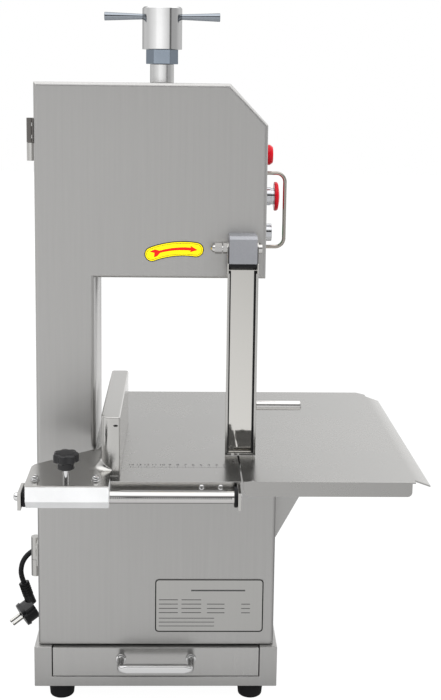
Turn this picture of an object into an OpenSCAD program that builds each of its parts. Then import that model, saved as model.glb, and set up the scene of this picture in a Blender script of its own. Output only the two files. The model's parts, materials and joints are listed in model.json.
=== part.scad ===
// Table-top bone saw with a vertical band, a sliding fence and a dust drawer.
// Working axes: X to the right from the middle of the base, Y to the rear from the door's face,
// Z up from the surface that the feet stand on. Lengths in millimetres, angles in degrees.

/* [Cabinet] */
// Width of the base
base_w = 323; // [300:1:360]
// Width of the head, from the cabinet's left side
head_w = 303; // [280:1:330]
// Width of the column
column_w = 77.5; // [70:0.5:90]
// Depth of the cabinet with its door
cabinet_d = 140; // [136:1:170]
// Height of the head's top
head_top = 848; // [840:1:900]
// Height of the head's underside
head_bottom = 594; // [560:1:598]
// Width of the sloped corner of the head
chamfer_w = 49.5; // [30:0.5:60]
// Height of the sloped corner of the head
chamfer_h = 52.5; // [30:0.5:70]
// Thickness of the cabinet's sheet
sheet_t = 2; // [1.5:0.5:3]
// Depth of the door pan
door_d = 29; // [24:1:32]
// Gap around the closed door
door_gap = 1; // [0.5:0.5:2]
// Diameter of the hinge knuckles
knuckle_d = 12; // [10:1:14]
// Diameter of the hinge pins
hinge_pin_d = 6; // [4:1:7]
// Height of the upper hinge's joint line
upper_hinge_z = 769; // [760:1:775]
// Height of the lower hinge's joint line
lower_hinge_z = 194; // [170:1:210]
// Length of a door knuckle
door_knuckle_l = 32; // [24:1:36]
// Length of a frame knuckle
frame_knuckle_l = 24; // [18:1:28]

/* [Plinth and drawer] */
// Height of the feet
foot_h = 24.5; // [20:0.5:35]
// Diameter of the feet at the top
foot_d = 38; // [30:1:44]
// Diameter of the feet at the floor
foot_floor_d = 33; // [26:1:40]
// Distance of a foot's middle from the plinth's sides and rear
foot_inset = 35; // [26:1:45]
// Distance of the front feet's middles behind the door's face
foot_setback = 21; // [16:1:40]
// Height of the plinth
plinth_h = 57.5; // [50:0.5:70]
// Overhang of the plinth at each side of the base
plinth_side = 5; // [0:1:10]
// Overhang of the plinth in front of the door
plinth_front = 7; // [5:0.5:12]
// Depth of the plinth
plinth_d = 287; // [270:1:310]
// Width of the plinth's side posts
post_w = 24; // [18:1:30]
// Height of the plinth's bottom rail
rail_h = 14; // [11:0.5:17]
// Gap around the drawer front
drawer_gap = 1.2; // [0.6:0.2:2]
// Depth of the drawer tray
drawer_d = 255; // [220:1:262]
// Distance between the posts of the drawer handle
pull_span = 96; // [64:1:128]
// Reach of the drawer handle
pull_reach = 31; // [26:1:40]
// Diameter of the drawer handle's posts
pull_post_d = 9; // [7:0.5:12]
// Height of the drawer handle's grip
pull_grip_h = 11.5; // [8:0.5:14]

/* [Table] */
// Height of the table's top
table_top = 362; // [356:1:372]
// Thickness of the table sheet
table_t = 2; // [1.5:0.5:3]
// Overhang of the table in front of the door
table_front = 124.5; // [115:0.5:140]
// Depth of the table
table_d = 404.5; // [390:0.5:430]
// Gap between the table and the column
table_gap = 4; // [2:1:8]
// Right end of the table's flat
table_right = 323; // [290:1:340]
// Width of the sloped lip at the right
lip_w = 20; // [12:1:26]
// Drop of the sloped lip
lip_drop = 7; // [4:1:10]
// Height of the table's turned-down edges
flange_h = 19; // [15:1:20]
// Rear edge of the table's arm in front of the column
arm_d = 54; // [45:1:58]
// Width of the blade kerf
kerf_w = 2; // [1.8:0.1:4]
// Reach of the gussets under the table
gusset_reach = 76; // [50:1:90]
// Height of the gussets
gusset_h = 140; // [90:1:150]

/* [Saw] */
// Diameter of the wheels
wheel_d = 210; // [200:1:212]
// Length of the saw band
band_l = 1650; // [1640:1:1656]
// Width of the saw band
band_w = 16; // [13:1:18]
// Thickness of the saw band
band_t = 0.8; // [0.5:0.1:1]
// Running gap between the band and the wheels
band_gap = 0.3; // [0.2:0.1:0.4]
// Distance of the wheels' axes from the head's right side
axis_inset = 139.5; // [136:0.5:142]
// Height of the drive wheel's axis
drive_z = 223; // [220:1:228]
// Depth of the middle of the wheel rims behind the door's face
wheel_y = 48; // [46:1:52]
// Width of the wheel rims
rim_w = 20; // [19:1:22]
// Thickness of the wheel rims
rim_t = 14; // [10:1:18]
// Diameter of the wheel hubs
wheel_hub_d = 64; // [60:1:70]
// Length of the wheel hubs
wheel_hub_l = 26; // [25:1:28]
// Diameter of the upper axle
axle_d = 20; // [15:1:22]
// Outer diameter of the upper bearings
bearing_d = 42; // [38:1:46]
// Width of one bearing
bearing_w = 12; // [10:1:12]
// Diameter of the drive shaft
shaft_d = 25; // [20:1:28]
// Diameter of the motor
motor_d = 140; // [120:1:150]
// Length of the motor
motor_l = 118; // [100:1:122]
// Running clearance of shafts and pins, on the radius
run_gap = 0.05; // [0.03:0.01:0.08]

/* [Tension gear] */
// Diameter of the tension screw
screw_d = 16; // [12:1:18]
// Travel of the upper wheel
tension_travel = 12; // [8:1:14]
// Diameter of the handle hub
hub_d = 54; // [46:1:60]
// Height of the handle hub
hub_h = 56.5; // [50:0.5:64]
// Length over both handle bars
bar_l = 157; // [130:1:180]
// Diameter of the bars at their ends
bar_end_d = 11.5; // [9:0.5:14]
// Diameter of the bars at the hub
bar_root_d = 7.5; // [6:0.5:9]
// Width of the lock nut over its corners
nut_w = 44; // [38:1:48]
// Height of the lock nut
nut_h = 19.5; // [15:0.5:24]
// Diameter of the screw's guide tube
tube_d = 32.5; // [28:0.5:36]
// Height of the guide tube above the head
tube_h = 25; // [18:1:32]
// Width of the wheel carriage
carriage_w = 70; // [60:1:76]
// Height of the wheel carriage
carriage_h = 100; // [92:1:106]
// Thickness of the wheel carriage
carriage_t = 36; // [34:1:38]

/* [Fence] */
// Diameter of the guide rod
rod_d = 16; // [14:0.5:17]
// Distance of the rod's axis in front of the table
rod_reach = 17.5; // [16:0.5:20]
// Depth of the rod's axis below the table's top
rod_drop = 13; // [12:0.5:15]
// Distance of the rod's left end from the cabinet's left side
rod_inset = 1.5; // [0:0.5:5]
// Distance of the rod's right end from the blade
rod_clear = 6.7; // [4:0.1:12]
// Thickness of the rod's end brackets
bracket_t = 4.2; // [3:0.2:6]
// Height of the end brackets
bracket_h = 22; // [20:1:24]
// Diameter of the rubber stop rings
ring_d = 25; // [22:1:28]
// Thickness of the stop rings
ring_t = 4; // [3:0.5:5]
// Length of the fence slider
slider_l = 100; // [80:1:110]
// Depth of the fence slider
slider_d = 33; // [31:1:35]
// Height of the slider above the table's top
slider_rise = 5.5; // [4:0.5:8]
// Depth of the slider below the table's top
slider_drop = 23; // [22:0.5:25]
// Thickness of the fence sheet
fence_t = 2; // [1.5:0.5:3]
// Width of the fence
fence_w = 24; // [18:1:30]
// Height of the fence's top above the table
fence_h = 76; // [60:1:100]
// Front end of the fence, from the door's face
fence_front = 106; // [100:1:110]
// Length of the fence
fence_l = 228; // [180:1:260]
// Gap between the fence and the table
fence_gap = 1; // [0.5:0.5:2]
// Diameter of the fence knob
knob_d = 32; // [26:1:36]
// Height of the knob's grip
knob_h = 12; // [9:0.5:16]
// Diameter of the knob's neck
knob_neck_d = 21; // [16:1:24]
// Diameter of the knob's stud
stud_d = 8; // [6:1:10]

/* [Guard] */
// Width of the guard block
block_w = 36; // [30:1:40]
// Depth of the guard block
block_d = 34; // [32:1:40]
// Height of the guard block
block_h = 36; // [34:1:42]
// Height of the guard pivot
pivot_z = 637; // [630:1:650]
// Depth of the pivot in front of the door
pivot_y = 17; // [16:0.5:18]
// Diameter of the pivot bolt
pivot_d = 8; // [6:1:10]
// Offset of the guard from the blade
guard_x = 2; // [0:0.5:4]
// Thickness of the guard sheet
guard_t = 1.5; // [1:0.5:2]
// Depth of the guard channel
guard_d = 14; // [11:1:16]
// Gap between the guard and the table
guard_gap = 2.5; // [2:0.5:6]
// Gap between the guard's ears and the block
ear_gap = 0.5; // [0.4:0.1:1]
// Height of the guard's grip above the table
grip_z = 69; // [50:1:100]
// Length of the guard's grip
grip_l = 59; // [40:1:70]
// Diameter of the guard's grip
grip_d = 13; // [10:0.5:16]

/* [Controls] */
// Depth of the controls behind the door's face
controls_y = 85; // [80:1:92]
// Diameter of the panel holes
control_hole_d = 22; // [16:1:22]
// Depth of the lamp below the head's top
lamp_drop = 96; // [92:1:98]
// Diameter of the lamp
lamp_d = 28; // [24:1:29]
// Reach of the lamp
lamp_reach = 13; // [12:1:20]
// Depth of the stop button below the head's top
stop_drop = 153; // [148:1:158]
// Diameter of the stop button
stop_d = 40; // [36:1:44]
// Reach of the stop button
stop_reach = 23; // [21:1:28]
// Stroke of the stop button
stop_stroke = 4; // [3:0.5:5]
// Depth of the start button below the head's top
start_drop = 203; // [202:1:204]
// Diameter of the start button's bezel
bezel_d = 24; // [24:1:26]
// Reach of the start button's bezel
bezel_reach = 13; // [10:1:15]
// Stroke of the start button
start_stroke = 2.5; // [2:0.5:4]
// Diameter of the guard loop's rod
loop_d = 5; // [4:0.5:6]
// Reach of the guard loop
loop_reach = 33; // [31:1:40]
// Height between the loop's feet
loop_h = 97; // [95:1:98]
// Depth of the loop's middle below the head's top
loop_drop = 172; // [171:1:173]

/* [Hidden] */
$fn = 72;

// Small fixed details
eps = 1;
seat_gap = 0.3;
hinge_gap = 0.4;
fit_gap = 0.1;
slide_gap = 0.3;
flange_extra = 3;
flange_t = 3;
guide_wall = 10;
guide_lip = 8;
label_t = 0.5;
flange_clear = 3;
flange_screw_h = 2;
leaf_t = 2;
leaf_w = 26;
screw_head_d = 9;
rod_screw_d = 6.4;
rod_washer_d = 13;
rod_washer_t = 1.5;
rod_head_d = 10;
rod_head_h = 5.5;
rod_low_h = 1.2;
flange_screw_steps = [43.5, 20];
arm_screw_step = 60;

stop_cap = 7.5;

// Drive details
housing_d = 74;
housing_flange_d = 110;
housing_flange_t = 10;
shaft_reach = 40;
shaft_cap = 14;
motor_flange_t = 10;
motor_flange_extra = 20;
terminal_w = 80;
terminal_h = 18;
terminal_l = 70;
terminal_step = 20;
rib_depth = 5;
rib_w = 12;
cover_side = 24;
cover_rise = 28;
cover_gap = 18;
vent_h = 5;
vent_step = 14;
chute_w = 210;

// Cabinet levels and sides
half_w = base_w / 2;
head_right = head_w - half_w;
column_right = column_w - half_w;
base_bottom = foot_h + plinth_h;
shelf_top = table_top - table_t;
split_y = door_d + door_gap;
rod_z = table_top - rod_drop;
rod_y = -table_front - rod_reach;
slider_bottom = table_top - slider_drop;
bracket_bottom = rod_z - bracket_h / 2;
bracket_front = rod_y - bracket_h / 2 - 7;
door_base_top = min(slider_bottom, bracket_bottom) - 4;
hinge_x = -half_w - knuckle_d / 2 - hinge_gap;
hinge_y = split_y - door_gap / 2;

// Saw line
axis_x = head_right - axis_inset;
wheel_r = wheel_d / 2;
centre_l = (band_l - PI * wheel_d) / 2;
upper_z = drive_z + centre_l;
band_r = wheel_r + band_gap;
blade_x = axis_x + band_r + band_t / 2;
rim_y0 = wheel_y - rim_w / 2;
rim_y1 = wheel_y + rim_w / 2;
band_y1 = rim_y1 - 0.5;
band_y0 = band_y1 - band_w;
hub_y0 = wheel_y - wheel_hub_l / 2;
hub_y1 = wheel_y + wheel_hub_l / 2;
housing_y0 = hub_y1 + 4;
cover_rear = cabinet_d + motor_l + cover_gap;
back_y = cabinet_d - sheet_t;
slot_w = 8;
rod_left = rod_inset - half_w;
rod_right = blade_x - rod_clear;

// Control levels
lamp_z = head_top - lamp_drop;
stop_z = head_top - stop_drop;
start_z = head_top - start_drop;
loop_z = head_top - loop_drop;

// Tension gear levels
screw_y = (rim_y1 + flange_t + back_y) / 2;
tube_top = head_top + tube_h;
nut_z = tube_top + seat_gap;
hub_z = nut_z + nut_h + seat_gap;
hub_top = hub_z + hub_h;
bar_z = hub_top - 13;
carriage_y0 = screw_y - carriage_t / 2;
carriage_y1 = screw_y + carriage_t / 2;

// Table edges
table_rear = table_d - table_front;
table_left = column_right + table_gap;
arm_left = rod_left + 12;
lip_x = table_right + lip_w;
lip_front = 8;
lip_rear = 22;

// Fence places
slider_x0 = rod_left + ring_t + 1;
slider_x1 = slider_x0 + slider_l;
fence_right = slider_x1 + 11;
fence_left = fence_right - fence_w;
plate_rear = -14;
slider_y1 = -table_front - flange_clear;
slider_y0 = slider_y1 - slider_d;
slider_top = table_top + slider_rise;
plate_top = slider_top + fence_t;
knob_x = (slider_x0 + slider_x1) / 2 - 2.5;

// Guard places
guard_mid = blade_x + guard_x;
guard_w = block_w + 2 * (ear_gap + guard_t);
guard_x0 = guard_mid - guard_w / 2;
guard_x1 = guard_mid + guard_w / 2;
guard_back = -pivot_y - 2.5;
guard_front = guard_back - guard_d;
guard_bottom = table_top + guard_gap;
guard_back_top = pivot_z - norm([pivot_y, block_h / 2]) - 2.5;

// Outer box of the saw without its cord
box_left = min(hinge_x - knuckle_d / 2, rod_left - bracket_t - 7);
box_mid_x = (box_left + lip_x) / 2;
box_mid_y = (min(slider_y0, bracket_front) + table_rear) / 2;

// Cord, with its points counted to the rear from the motor cover
function from_cover(points) = [for (p = points) p + [0, cover_rear, 0]];
cord_d = 8;
coil_x = -40;
coil_y = cover_rear + 74;
coil_r = 45;
coil_pitch = 8.6;
coil_turns = 4;
coil_z = 4.2;
coil_rings = 24;
coil_sides = 6;
cord_sides = 10;
lead_points = from_cover([[60, 24, 150], [60, 36, 149], [60, 56, 142], [60, 74, 126], [60, 86, 106],
    [59, 94, 84], [57, 102, 62], [53, 109, 41], [45, 115, 23], [32, 118, 11], [14, 119, 5.5],
    [-6, 119, 4.2], [-26, 119, 4.2], [-40, 119, 4.2]]);
tail_points = from_cover([[-40, 119, 38.6], [-54, 119, 38.6], [-76, 117, 37], [-98, 111, 34],
    [-117, 100, 32], [-131, 84, 36], [-139, 65, 46], [-143, 45, 60], [-145, 25, 76], [-146, 5, 92],
    [-149, -14, 106], [-155, -31, 117], [-167, -45, 124], [-182, -54, 126.5], [-195, -60, 124],
    [-205.5, -63, 117], [-212.5, -65, 106.4], [-215, -66, 94], [-214, -66, 84], [-211, -66, 74]]);
plug_tip = tail_points[len(tail_points) - 1];
plug_tilt = 18;
head_tilt = 12;
head_turn = 25;
plug_d = 40;

// Shapes that repeat

module place() {
    translate([-box_mid_x, -box_mid_y, 0]) children();
}

module box(x0, x1, y0, y1, z0, z1) {
    translate([x0, y0, z0]) cube([x1 - x0, y1 - y0, z1 - z0]);
}

module along_x(x0, x1) {
    translate([x0, 0, 0]) rotate([90, 0, 90]) linear_extrude(x1 - x0) children();
}

module along_y(y0, y1) {
    translate([0, y1, 0]) rotate([90, 0, 0]) linear_extrude(y1 - y0) children();
}

module along_z(z0, z1) {
    translate([0, 0, z0]) linear_extrude(z1 - z0) children();
}

module rod_x(x0, x1, y, z, d) {
    translate([x0, y, z]) rotate([0, 90, 0]) cylinder(h = x1 - x0, d = d);
}

module rod_along_y(y0, y1, x, z, d) {
    translate([x, y0, z]) rotate([-90, 0, 0]) cylinder(h = y1 - y0, d = d);
}

module rod_up(z0, z1, x, y, d) {
    translate([x, y, z0]) cylinder(h = z1 - z0, d = d);
}

module round_rect(w, h, r) {
    square([w - 2 * r, h], center = true);
    square([w, h - 2 * r], center = true);
    for (sx = [-1, 1], sy = [-1, 1])
        translate([sx * (w / 2 - r), sy * (h / 2 - r)]) circle(r);
}

// Outline of the cabinet seen from the front, moved in by t, with its base ending at base_top
function c_points(t, base_top, bottom) =
    let (slope = norm([chamfer_w, chamfer_h]))
    [[-half_w + t, bottom + t], [half_w - t, bottom + t], [half_w - t, base_top - t],
        [column_right - t, base_top - t], [column_right - t, head_bottom + t],
        [head_right - t, head_bottom + t],
        [head_right - t, head_top - chamfer_h + t * (chamfer_h - slope) / chamfer_w],
        [head_right - chamfer_w + t * (chamfer_w - slope) / chamfer_h, head_top - t],
        [-half_w + t, head_top - t]];

// Rounded head of a screw that points along -Z
module screw_head(d, h) {
    intersection() {
        cylinder(h = h, d = d);
        translate([0, 0, h - d]) sphere(d);
    }
}

// Tube swept along points, with its frame carried from ring to ring
function unit(v) = v / norm(v);
function tangent(p, i) = unit(p[min(i + 1, len(p) - 1)] - p[max(i - 1, 0)]);
function carried(n, t) = unit(n - (n * t) * t);
function normals(p, n, i = 0) = i == len(p) ? [] :
    let (m = carried(n, tangent(p, i))) concat([m], normals(p, m, i + 1));
function ring(c, t, n, r, sides) =
    [for (k = [0:sides - 1]) c + r * (n * cos(360 * k / sides) + cross(t, n) * sin(360 * k / sides))];

module swept_tube(p, d, sides, first_normal) {
    n = normals(p, first_normal);
    rings = [for (i = [0:len(p) - 1]) ring(p[i], tangent(p, i), n[i], d / 2, sides)];
    points = concat([for (r = rings) each r], [p[0], p[len(p) - 1]]);
    last = (len(p) - 1) * sides;
    walls = [for (i = [0:len(p) - 2], k = [0:sides - 1])
        let (a = i * sides + k, b = i * sides + (k + 1) % sides)
        each [[a, a + sides, b], [b, a + sides, b + sides]]];
    ends = [for (k = [0:sides - 1]) let (m = (k + 1) % sides)
        each [[len(points) - 2, k, m], [len(points) - 1, last + m, last + k]]];
    polyhedron(points, concat(walls, ends));
}

// Cabinet, plinth and table

module frame_shell() {
    lip_left = column_right + door_gap;
    color("silver") difference() {
        union() {
            difference() {
                along_y(split_y, cabinet_d) polygon(c_points(0, shelf_top, base_bottom));
                along_y(split_y - eps, back_y) polygon(c_points(sheet_t, shelf_top, base_bottom));
            }
            box(lip_left, half_w, sheet_t, split_y, shelf_top - sheet_t, shelf_top);
            box(lip_left, half_w, sheet_t, 2 * sheet_t, door_base_top + door_gap, shelf_top);
        }
        blade_slot(shelf_top - flange_h - sheet_t - 10, shelf_top + eps, 0);
        blade_slot(head_bottom - eps, head_bottom + sheet_t + eps, split_y - eps);
        box(axis_x - chute_w / 2, axis_x + chute_w / 2, split_y + 8, back_y - 12,
            base_bottom - eps, base_bottom + sheet_t + eps);
        rod_up(head_top - sheet_t - eps, head_top + eps, axis_x, screw_y, tube_d - 6 + fit_gap);
        rod_along_y(back_y - eps, cabinet_d + eps, axis_x, drive_z, shaft_d + 10);
        for (z = [lamp_z, stop_z, start_z])
            rod_x(head_right - sheet_t - eps, head_right + eps, controls_y, z, control_hole_d);
    }
}

module blade_slot(z0, z1, y0) {
    box(blade_x - slot_w / 2, blade_x + slot_w / 2, y0, band_y1 + 8, z0, z1);
}

module plinth() {
    side = half_w + plinth_side;
    rear = plinth_d - plinth_front;
    color("silver") union() {
        for (s = [-1, 1]) {
            x0 = s < 0 ? -side : side - post_w;
            difference() {
                box(x0, x0 + post_w, -plinth_front, rear, foot_h, base_bottom);
                box(x0 + sheet_t, x0 + post_w - sheet_t, -plinth_front + sheet_t, rear - sheet_t,
                    foot_h + sheet_t, base_bottom - sheet_t);
            }
        }
        box(-side + post_w, side - post_w, -plinth_front, -plinth_front + sheet_t,
            foot_h, foot_h + rail_h);
        box(-side + post_w, side - post_w, -plinth_front, rear, foot_h, foot_h + sheet_t);
        box(-side + post_w, side - post_w, rear - sheet_t, rear, foot_h, base_bottom);
        box(-side + post_w, side - post_w, cabinet_d, rear, base_bottom - sheet_t, base_bottom);
    }
}

module feet() {
    side = half_w + plinth_side - foot_inset;
    color("dimgray") for (x = [-side, side], y = [foot_setback, plinth_d - plinth_front - foot_inset])
        translate([x, y, 0]) cylinder(h = foot_h, d1 = foot_floor_d, d2 = foot_d);
}

module drawer_runners() {
    inner = half_w + plinth_side - post_w;
    top = foot_h + rail_h + drawer_gap - slide_gap;
    color("silver") for (s = [-1, 1])
        translate([s * (inner - 6), 0, 0])
            box(-6, 6, sheet_t, drawer_d, foot_h + sheet_t, top);
}

module table() {
    flange_y = -table_front + table_t;
    cut = 12;
    color("gainsboro") difference() {
        union() {
            along_z(shelf_top, table_top) polygon([[table_left, -table_front + arm_d],
                [arm_left, -table_front + arm_d], [arm_left, -table_front],
                [table_right, -table_front], [table_right, table_rear - cut],
                [table_right - cut, table_rear], [table_left, table_rear]]);
            along_y(-table_front, flange_y) front_flange();
            box(table_left, table_right - cut, table_rear - table_t, table_rear,
                table_top - 14, table_top);
            along_y(-table_front + lip_front, table_rear - lip_rear)
                polygon([[table_right, table_top], [lip_x, table_top - lip_drop],
                    [lip_x, table_top - lip_drop - table_t], [table_right, shelf_top]]);
        }
        box(blade_x - kerf_w / 2, blade_x + kerf_w / 2, -table_front - eps, band_y1 + 8,
            table_top - flange_h - eps, table_top + eps);
    }
}

// Front edge of the table, turned down left and right of the kerf
module front_flange() {
    r = 10;
    corner = 6;
    right_start = blade_x + kerf_w / 2;
    z0 = table_top - flange_h;
    translate([arm_left, z0]) square([blade_x - arm_left - kerf_w, flange_h]);
    right_end = table_right - 4;
    translate([right_start + r, z0]) square([right_end - corner - right_start - r, flange_h]);
    translate([right_end - corner - eps, z0 + corner]) square([corner + eps, flange_h - corner]);
    translate([right_end - corner, z0 + corner]) circle(corner);
    translate([right_start, z0 + r]) square([r + eps, flange_h - r]);
    translate([right_start + r, z0 + r]) circle(r);
}

module table_gussets() {
    color("silver") for (y = [split_y + 12, back_y - 12])
        along_y(y, y + 3) polygon([[half_w, shelf_top], [half_w + gusset_reach, shelf_top],
            [half_w + gusset_reach, shelf_top - 6], [half_w + 4, shelf_top - gusset_h],
            [half_w, shelf_top - gusset_h]]);
}

module table_screws() {
    xs = [rod_right - flange_screw_steps[0], rod_right - flange_screw_steps[1], arm_left + arm_screw_step];
    color("gainsboro") for (x = xs)
        translate([x, -table_front, rod_z + 6]) rotate([90, 0, 0])
            screw_head(screw_head_d - 2, flange_screw_h);
}

// Guide rod of the fence

module rail_brackets() {
    tab = 15;
    color("silver") for (s = [-1, 1]) {
        x0 = s < 0 ? rod_left - bracket_t : rod_right;
        difference() {
            union() {
                box(x0, x0 + bracket_t, bracket_front, -table_front,
                    bracket_bottom, bracket_bottom + bracket_h);
                if (s < 0)
                    box(x0, arm_left + tab, -table_front - flange_screw_h, -table_front,
                        bracket_bottom, bracket_bottom + bracket_h);
            }
            rod_x(x0 - eps, x0 + bracket_t + eps, rod_y, rod_z, rod_screw_d + fit_gap);
        }
    }
}

module guide_rod() {
    groove = 10;
    count = floor((rod_right - rod_left - 80) / groove);
    color("gainsboro") difference() {
        rod_x(rod_left, rod_right, rod_y, rod_z, rod_d);
        for (i = [0:count])
            box(rod_right - 14 - i * groove, rod_right - 13 - i * groove, rod_y - rod_d / 2 - eps,
                rod_y - rod_d / 2 + 0.4, rod_z - 2.5, rod_z + 2.5);
    }
}

module rod_stop_rings() {
    color("black") for (x = [rod_left, rod_right - ring_t])
        difference() {
            rod_x(x, x + ring_t, rod_y, rod_z, ring_d);
            rod_x(x - eps, x + ring_t + eps, rod_y, rod_z, rod_d + fit_gap);
        }
}

module rod_end_screws() {
    color("gainsboro") {
        translate([rod_left - bracket_t, rod_y, rod_z]) rotate([0, -90, 0]) end_screw();
        translate([rod_right + bracket_t, rod_y, rod_z]) rotate([0, 90, 0]) low_screw();
    }
}

module end_screw() {
    cylinder(h = rod_washer_t, d = rod_washer_d);
    translate([0, 0, rod_washer_t]) screw_head(rod_head_d, rod_head_h);
    translate([0, 0, -bracket_t]) cylinder(h = bracket_t, d = rod_screw_d);
}

// Screw with a low head, where the fence's rail ends close to the blade
module low_screw() {
    cylinder(h = rod_low_h, d = rod_head_d);
    translate([0, 0, -bracket_t]) cylinder(h = bracket_t, d = rod_screw_d);
}

// Door hinges

module frame_hinges() {
    color("silver") for (z = [upper_hinge_z, lower_hinge_z]) {
        rod_up(z - frame_knuckle_l, z - seat_gap, hinge_x, hinge_y, knuckle_d);
        rod_up(z - frame_knuckle_l, z + door_knuckle_l - 6, hinge_x, hinge_y, hinge_pin_d);
        difference() {
            box(-half_w - leaf_t, -half_w, hinge_y, hinge_y + leaf_w,
                z - frame_knuckle_l, z - seat_gap);
            rod_up(z - frame_knuckle_l - eps, z, hinge_x, hinge_y, knuckle_d - 0.2);
        }
    }
}

module door_hinges() {
    color("dimgray") for (z = [upper_hinge_z, lower_hinge_z])
        difference() {
            union() {
                rod_up(z, z + door_knuckle_l, hinge_x, hinge_y, knuckle_d);
                box(-half_w - leaf_t, -half_w, hinge_y - leaf_w, hinge_y, z, z + door_knuckle_l);
            }
            rod_up(z - eps, z + door_knuckle_l - 4, hinge_x, hinge_y, hinge_pin_d + 2 * run_gap);
        }
}

// Door with the guard block and the plates

module door_panel() {
    door_bottom = base_bottom + door_gap;
    color("silver") difference() {
        along_y(0, door_d) polygon(c_points(0, door_base_top, door_bottom));
        along_y(sheet_t, door_d + eps) polygon(c_points(sheet_t, door_base_top, door_bottom));
    }
}

module guard_block() {
    bevel = 4;
    z0 = pivot_z - block_h / 2;
    z1 = pivot_z + block_h / 2;
    color("gray") difference() {
        along_x(guard_mid - block_w / 2, guard_mid + block_w / 2) polygon([[0, z0], [-block_d, z0],
            [-block_d, z1 - bevel], [-block_d + bevel, z1], [0, z1]]);
        rod_x(guard_x0 - eps, guard_x1 + eps, -pivot_y, pivot_z, pivot_d + fit_gap);
    }
}

module guard_pivot() {
    nut = 14;
    color("gainsboro") union() {
        rod_x(guard_x0 - 19, guard_x1 + 4, -pivot_y, pivot_z, pivot_d);
        rod_x(guard_x1 + ear_gap, guard_x1 + 5, -pivot_y, pivot_z, nut - 1);
        translate([guard_x0 - ear_gap - 5, -pivot_y, pivot_z]) rotate([0, 90, 0])
            cylinder(h = 5, d = nut, $fn = 6);
        translate([guard_x0 - 16, -pivot_y, pivot_z]) rotate([0, 90, 0])
            cylinder(h = 9, d = nut, $fn = 6);
        translate([guard_x0 - 16, -pivot_y, pivot_z]) sphere(d = nut - 3);
    }
}

module rating_plate() {
    plate_w = 149;
    plate_h = 77;
    color("silver") translate([half_w - 14.5 - plate_w / 2, 0, base_bottom + 57])
        along_y(-label_t, 0) round_rect(plate_w, plate_h, 6);
}

module arrow_label() {
    mid_r = 115;
    half = 9.9;
    spread = 14.7;
    tilt = 6.2;
    far = 2 * mid_r;
    color("gold") translate([blade_x - 74.8, 0, head_bottom - 75.3]) along_y(-label_t, 0) rotate(tilt)
        union() {
            intersection() {
                difference() {
                    circle(mid_r + half);
                    circle(mid_r - half);
                }
                polygon([[0, 0], [-far * sin(spread), far * cos(spread)],
                    [far * sin(spread), far * cos(spread)]]);
            }
            for (s = [-1, 1])
                rotate(s * spread) translate([0, mid_r]) circle(half);
        }
}

module interlock_switch() {
    color("black") box(head_right - sheet_t - 22, head_right - sheet_t, split_y + 2, split_y + 34,
        head_bottom + 20, head_bottom + 66);
}

module interlock_key() {
    z = head_bottom + 43;
    color("gray") box(head_right - sheet_t - 14, head_right - sheet_t, door_d - 18, split_y - 0.2,
        z - 8, z + 8);
}

// Swinging guard

module guard_channel() {
    ear_r = 9;
    color("gainsboro") difference() {
        union() {
            box(guard_x0, guard_x1, guard_back - guard_t, guard_back, guard_bottom, guard_back_top);
            box(guard_x0, guard_x1, guard_front, guard_back, guard_bottom, guard_bottom + guard_t);
            for (x = [guard_x0, guard_x1 - guard_t])
                along_x(x, x + guard_t) union() {
                    translate([guard_front, guard_bottom])
                        square([guard_d, pivot_z - guard_bottom - block_h / 2]);
                    polygon([[guard_front, pivot_z - block_h / 2 - 6],
                        [guard_back, pivot_z - block_h / 2 - 6],
                        [-pivot_y + ear_r, pivot_z], [-pivot_y - ear_r, pivot_z]]);
                    translate([-pivot_y, pivot_z]) circle(ear_r);
                }
        }
        rod_x(guard_x0 - eps, guard_x1 + eps, -pivot_y, pivot_z, pivot_d + 2 * run_gap);
        box(guard_x0 + 8, guard_x0 + 12, guard_front - eps, guard_front + 5, guard_bottom - eps,
            guard_bottom + guard_t + eps);
    }
}

module guard_grip() {
    edge = 1.5;
    color("white") union() {
        rod_x(guard_x1, guard_x1 + grip_l - edge, (guard_front + guard_back) / 2,
            table_top + grip_z, grip_d);
        translate([guard_x1 + grip_l - edge, (guard_front + guard_back) / 2, table_top + grip_z])
            rotate([0, 90, 0]) cylinder(h = edge, d1 = grip_d, d2 = grip_d - 2 * edge);
    }
}

// Wheels, band and drive

module wheel_body(bore, z) {
    spokes = 5;
    web = 8;
    translate([axis_x, 0, z]) difference() {
        union() {
            rod_along_y(rim_y0, rim_y1, 0, 0, wheel_d);
            rod_along_y(rim_y1, rim_y1 + flange_t, 0, 0, wheel_d + 2 * flange_extra);
            rod_along_y(hub_y0, hub_y1, 0, 0, wheel_hub_d);
        }
        for (y = [[rim_y0 - eps, wheel_y - web / 2], [wheel_y + web / 2, rim_y1 + flange_t + eps]])
            difference() {
                rod_along_y(y[0], y[1], 0, 0, wheel_d - 2 * rim_t);
                rod_along_y(y[0] - eps, y[1] + eps, 0, 0, wheel_hub_d);
            }
        rod_along_y(hub_y0 - eps, hub_y1 + eps, 0, 0, bore);
        for (i = [0:spokes - 1])
            rotate([0, 360 * i / spokes, 0])
                rod_along_y(hub_y0 - eps, hub_y1 + eps,
                    (wheel_hub_d + wheel_d - 2 * rim_t) / 4, 0, 36);
    }
}

module upper_wheel() {
    color("darkgray") wheel_body(bearing_d + fit_gap, upper_z);
}

module drive_wheel() {
    color("darkgray") wheel_body(shaft_d + fit_gap, drive_z);
}

module upper_bearings() {
    color("gainsboro") for (y = [wheel_y - bearing_w - 0.5, wheel_y + 0.5])
        difference() {
            rod_along_y(y, y + bearing_w, axis_x, upper_z, bearing_d);
            rod_along_y(y - eps, y + bearing_w + eps, axis_x, upper_z, axle_d + 2 * run_gap);
        }
}

module upper_axle() {
    color("silver") union() {
        rod_along_y(hub_y0 - 1, carriage_y0, axis_x, upper_z, axle_d);
        rod_along_y(hub_y0 - 5, hub_y0 - 1, axis_x, upper_z, axle_d + 10);
        rod_along_y(hub_y1 + 1, carriage_y0, axis_x, upper_z, axle_d + 10);
    }
}

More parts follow.
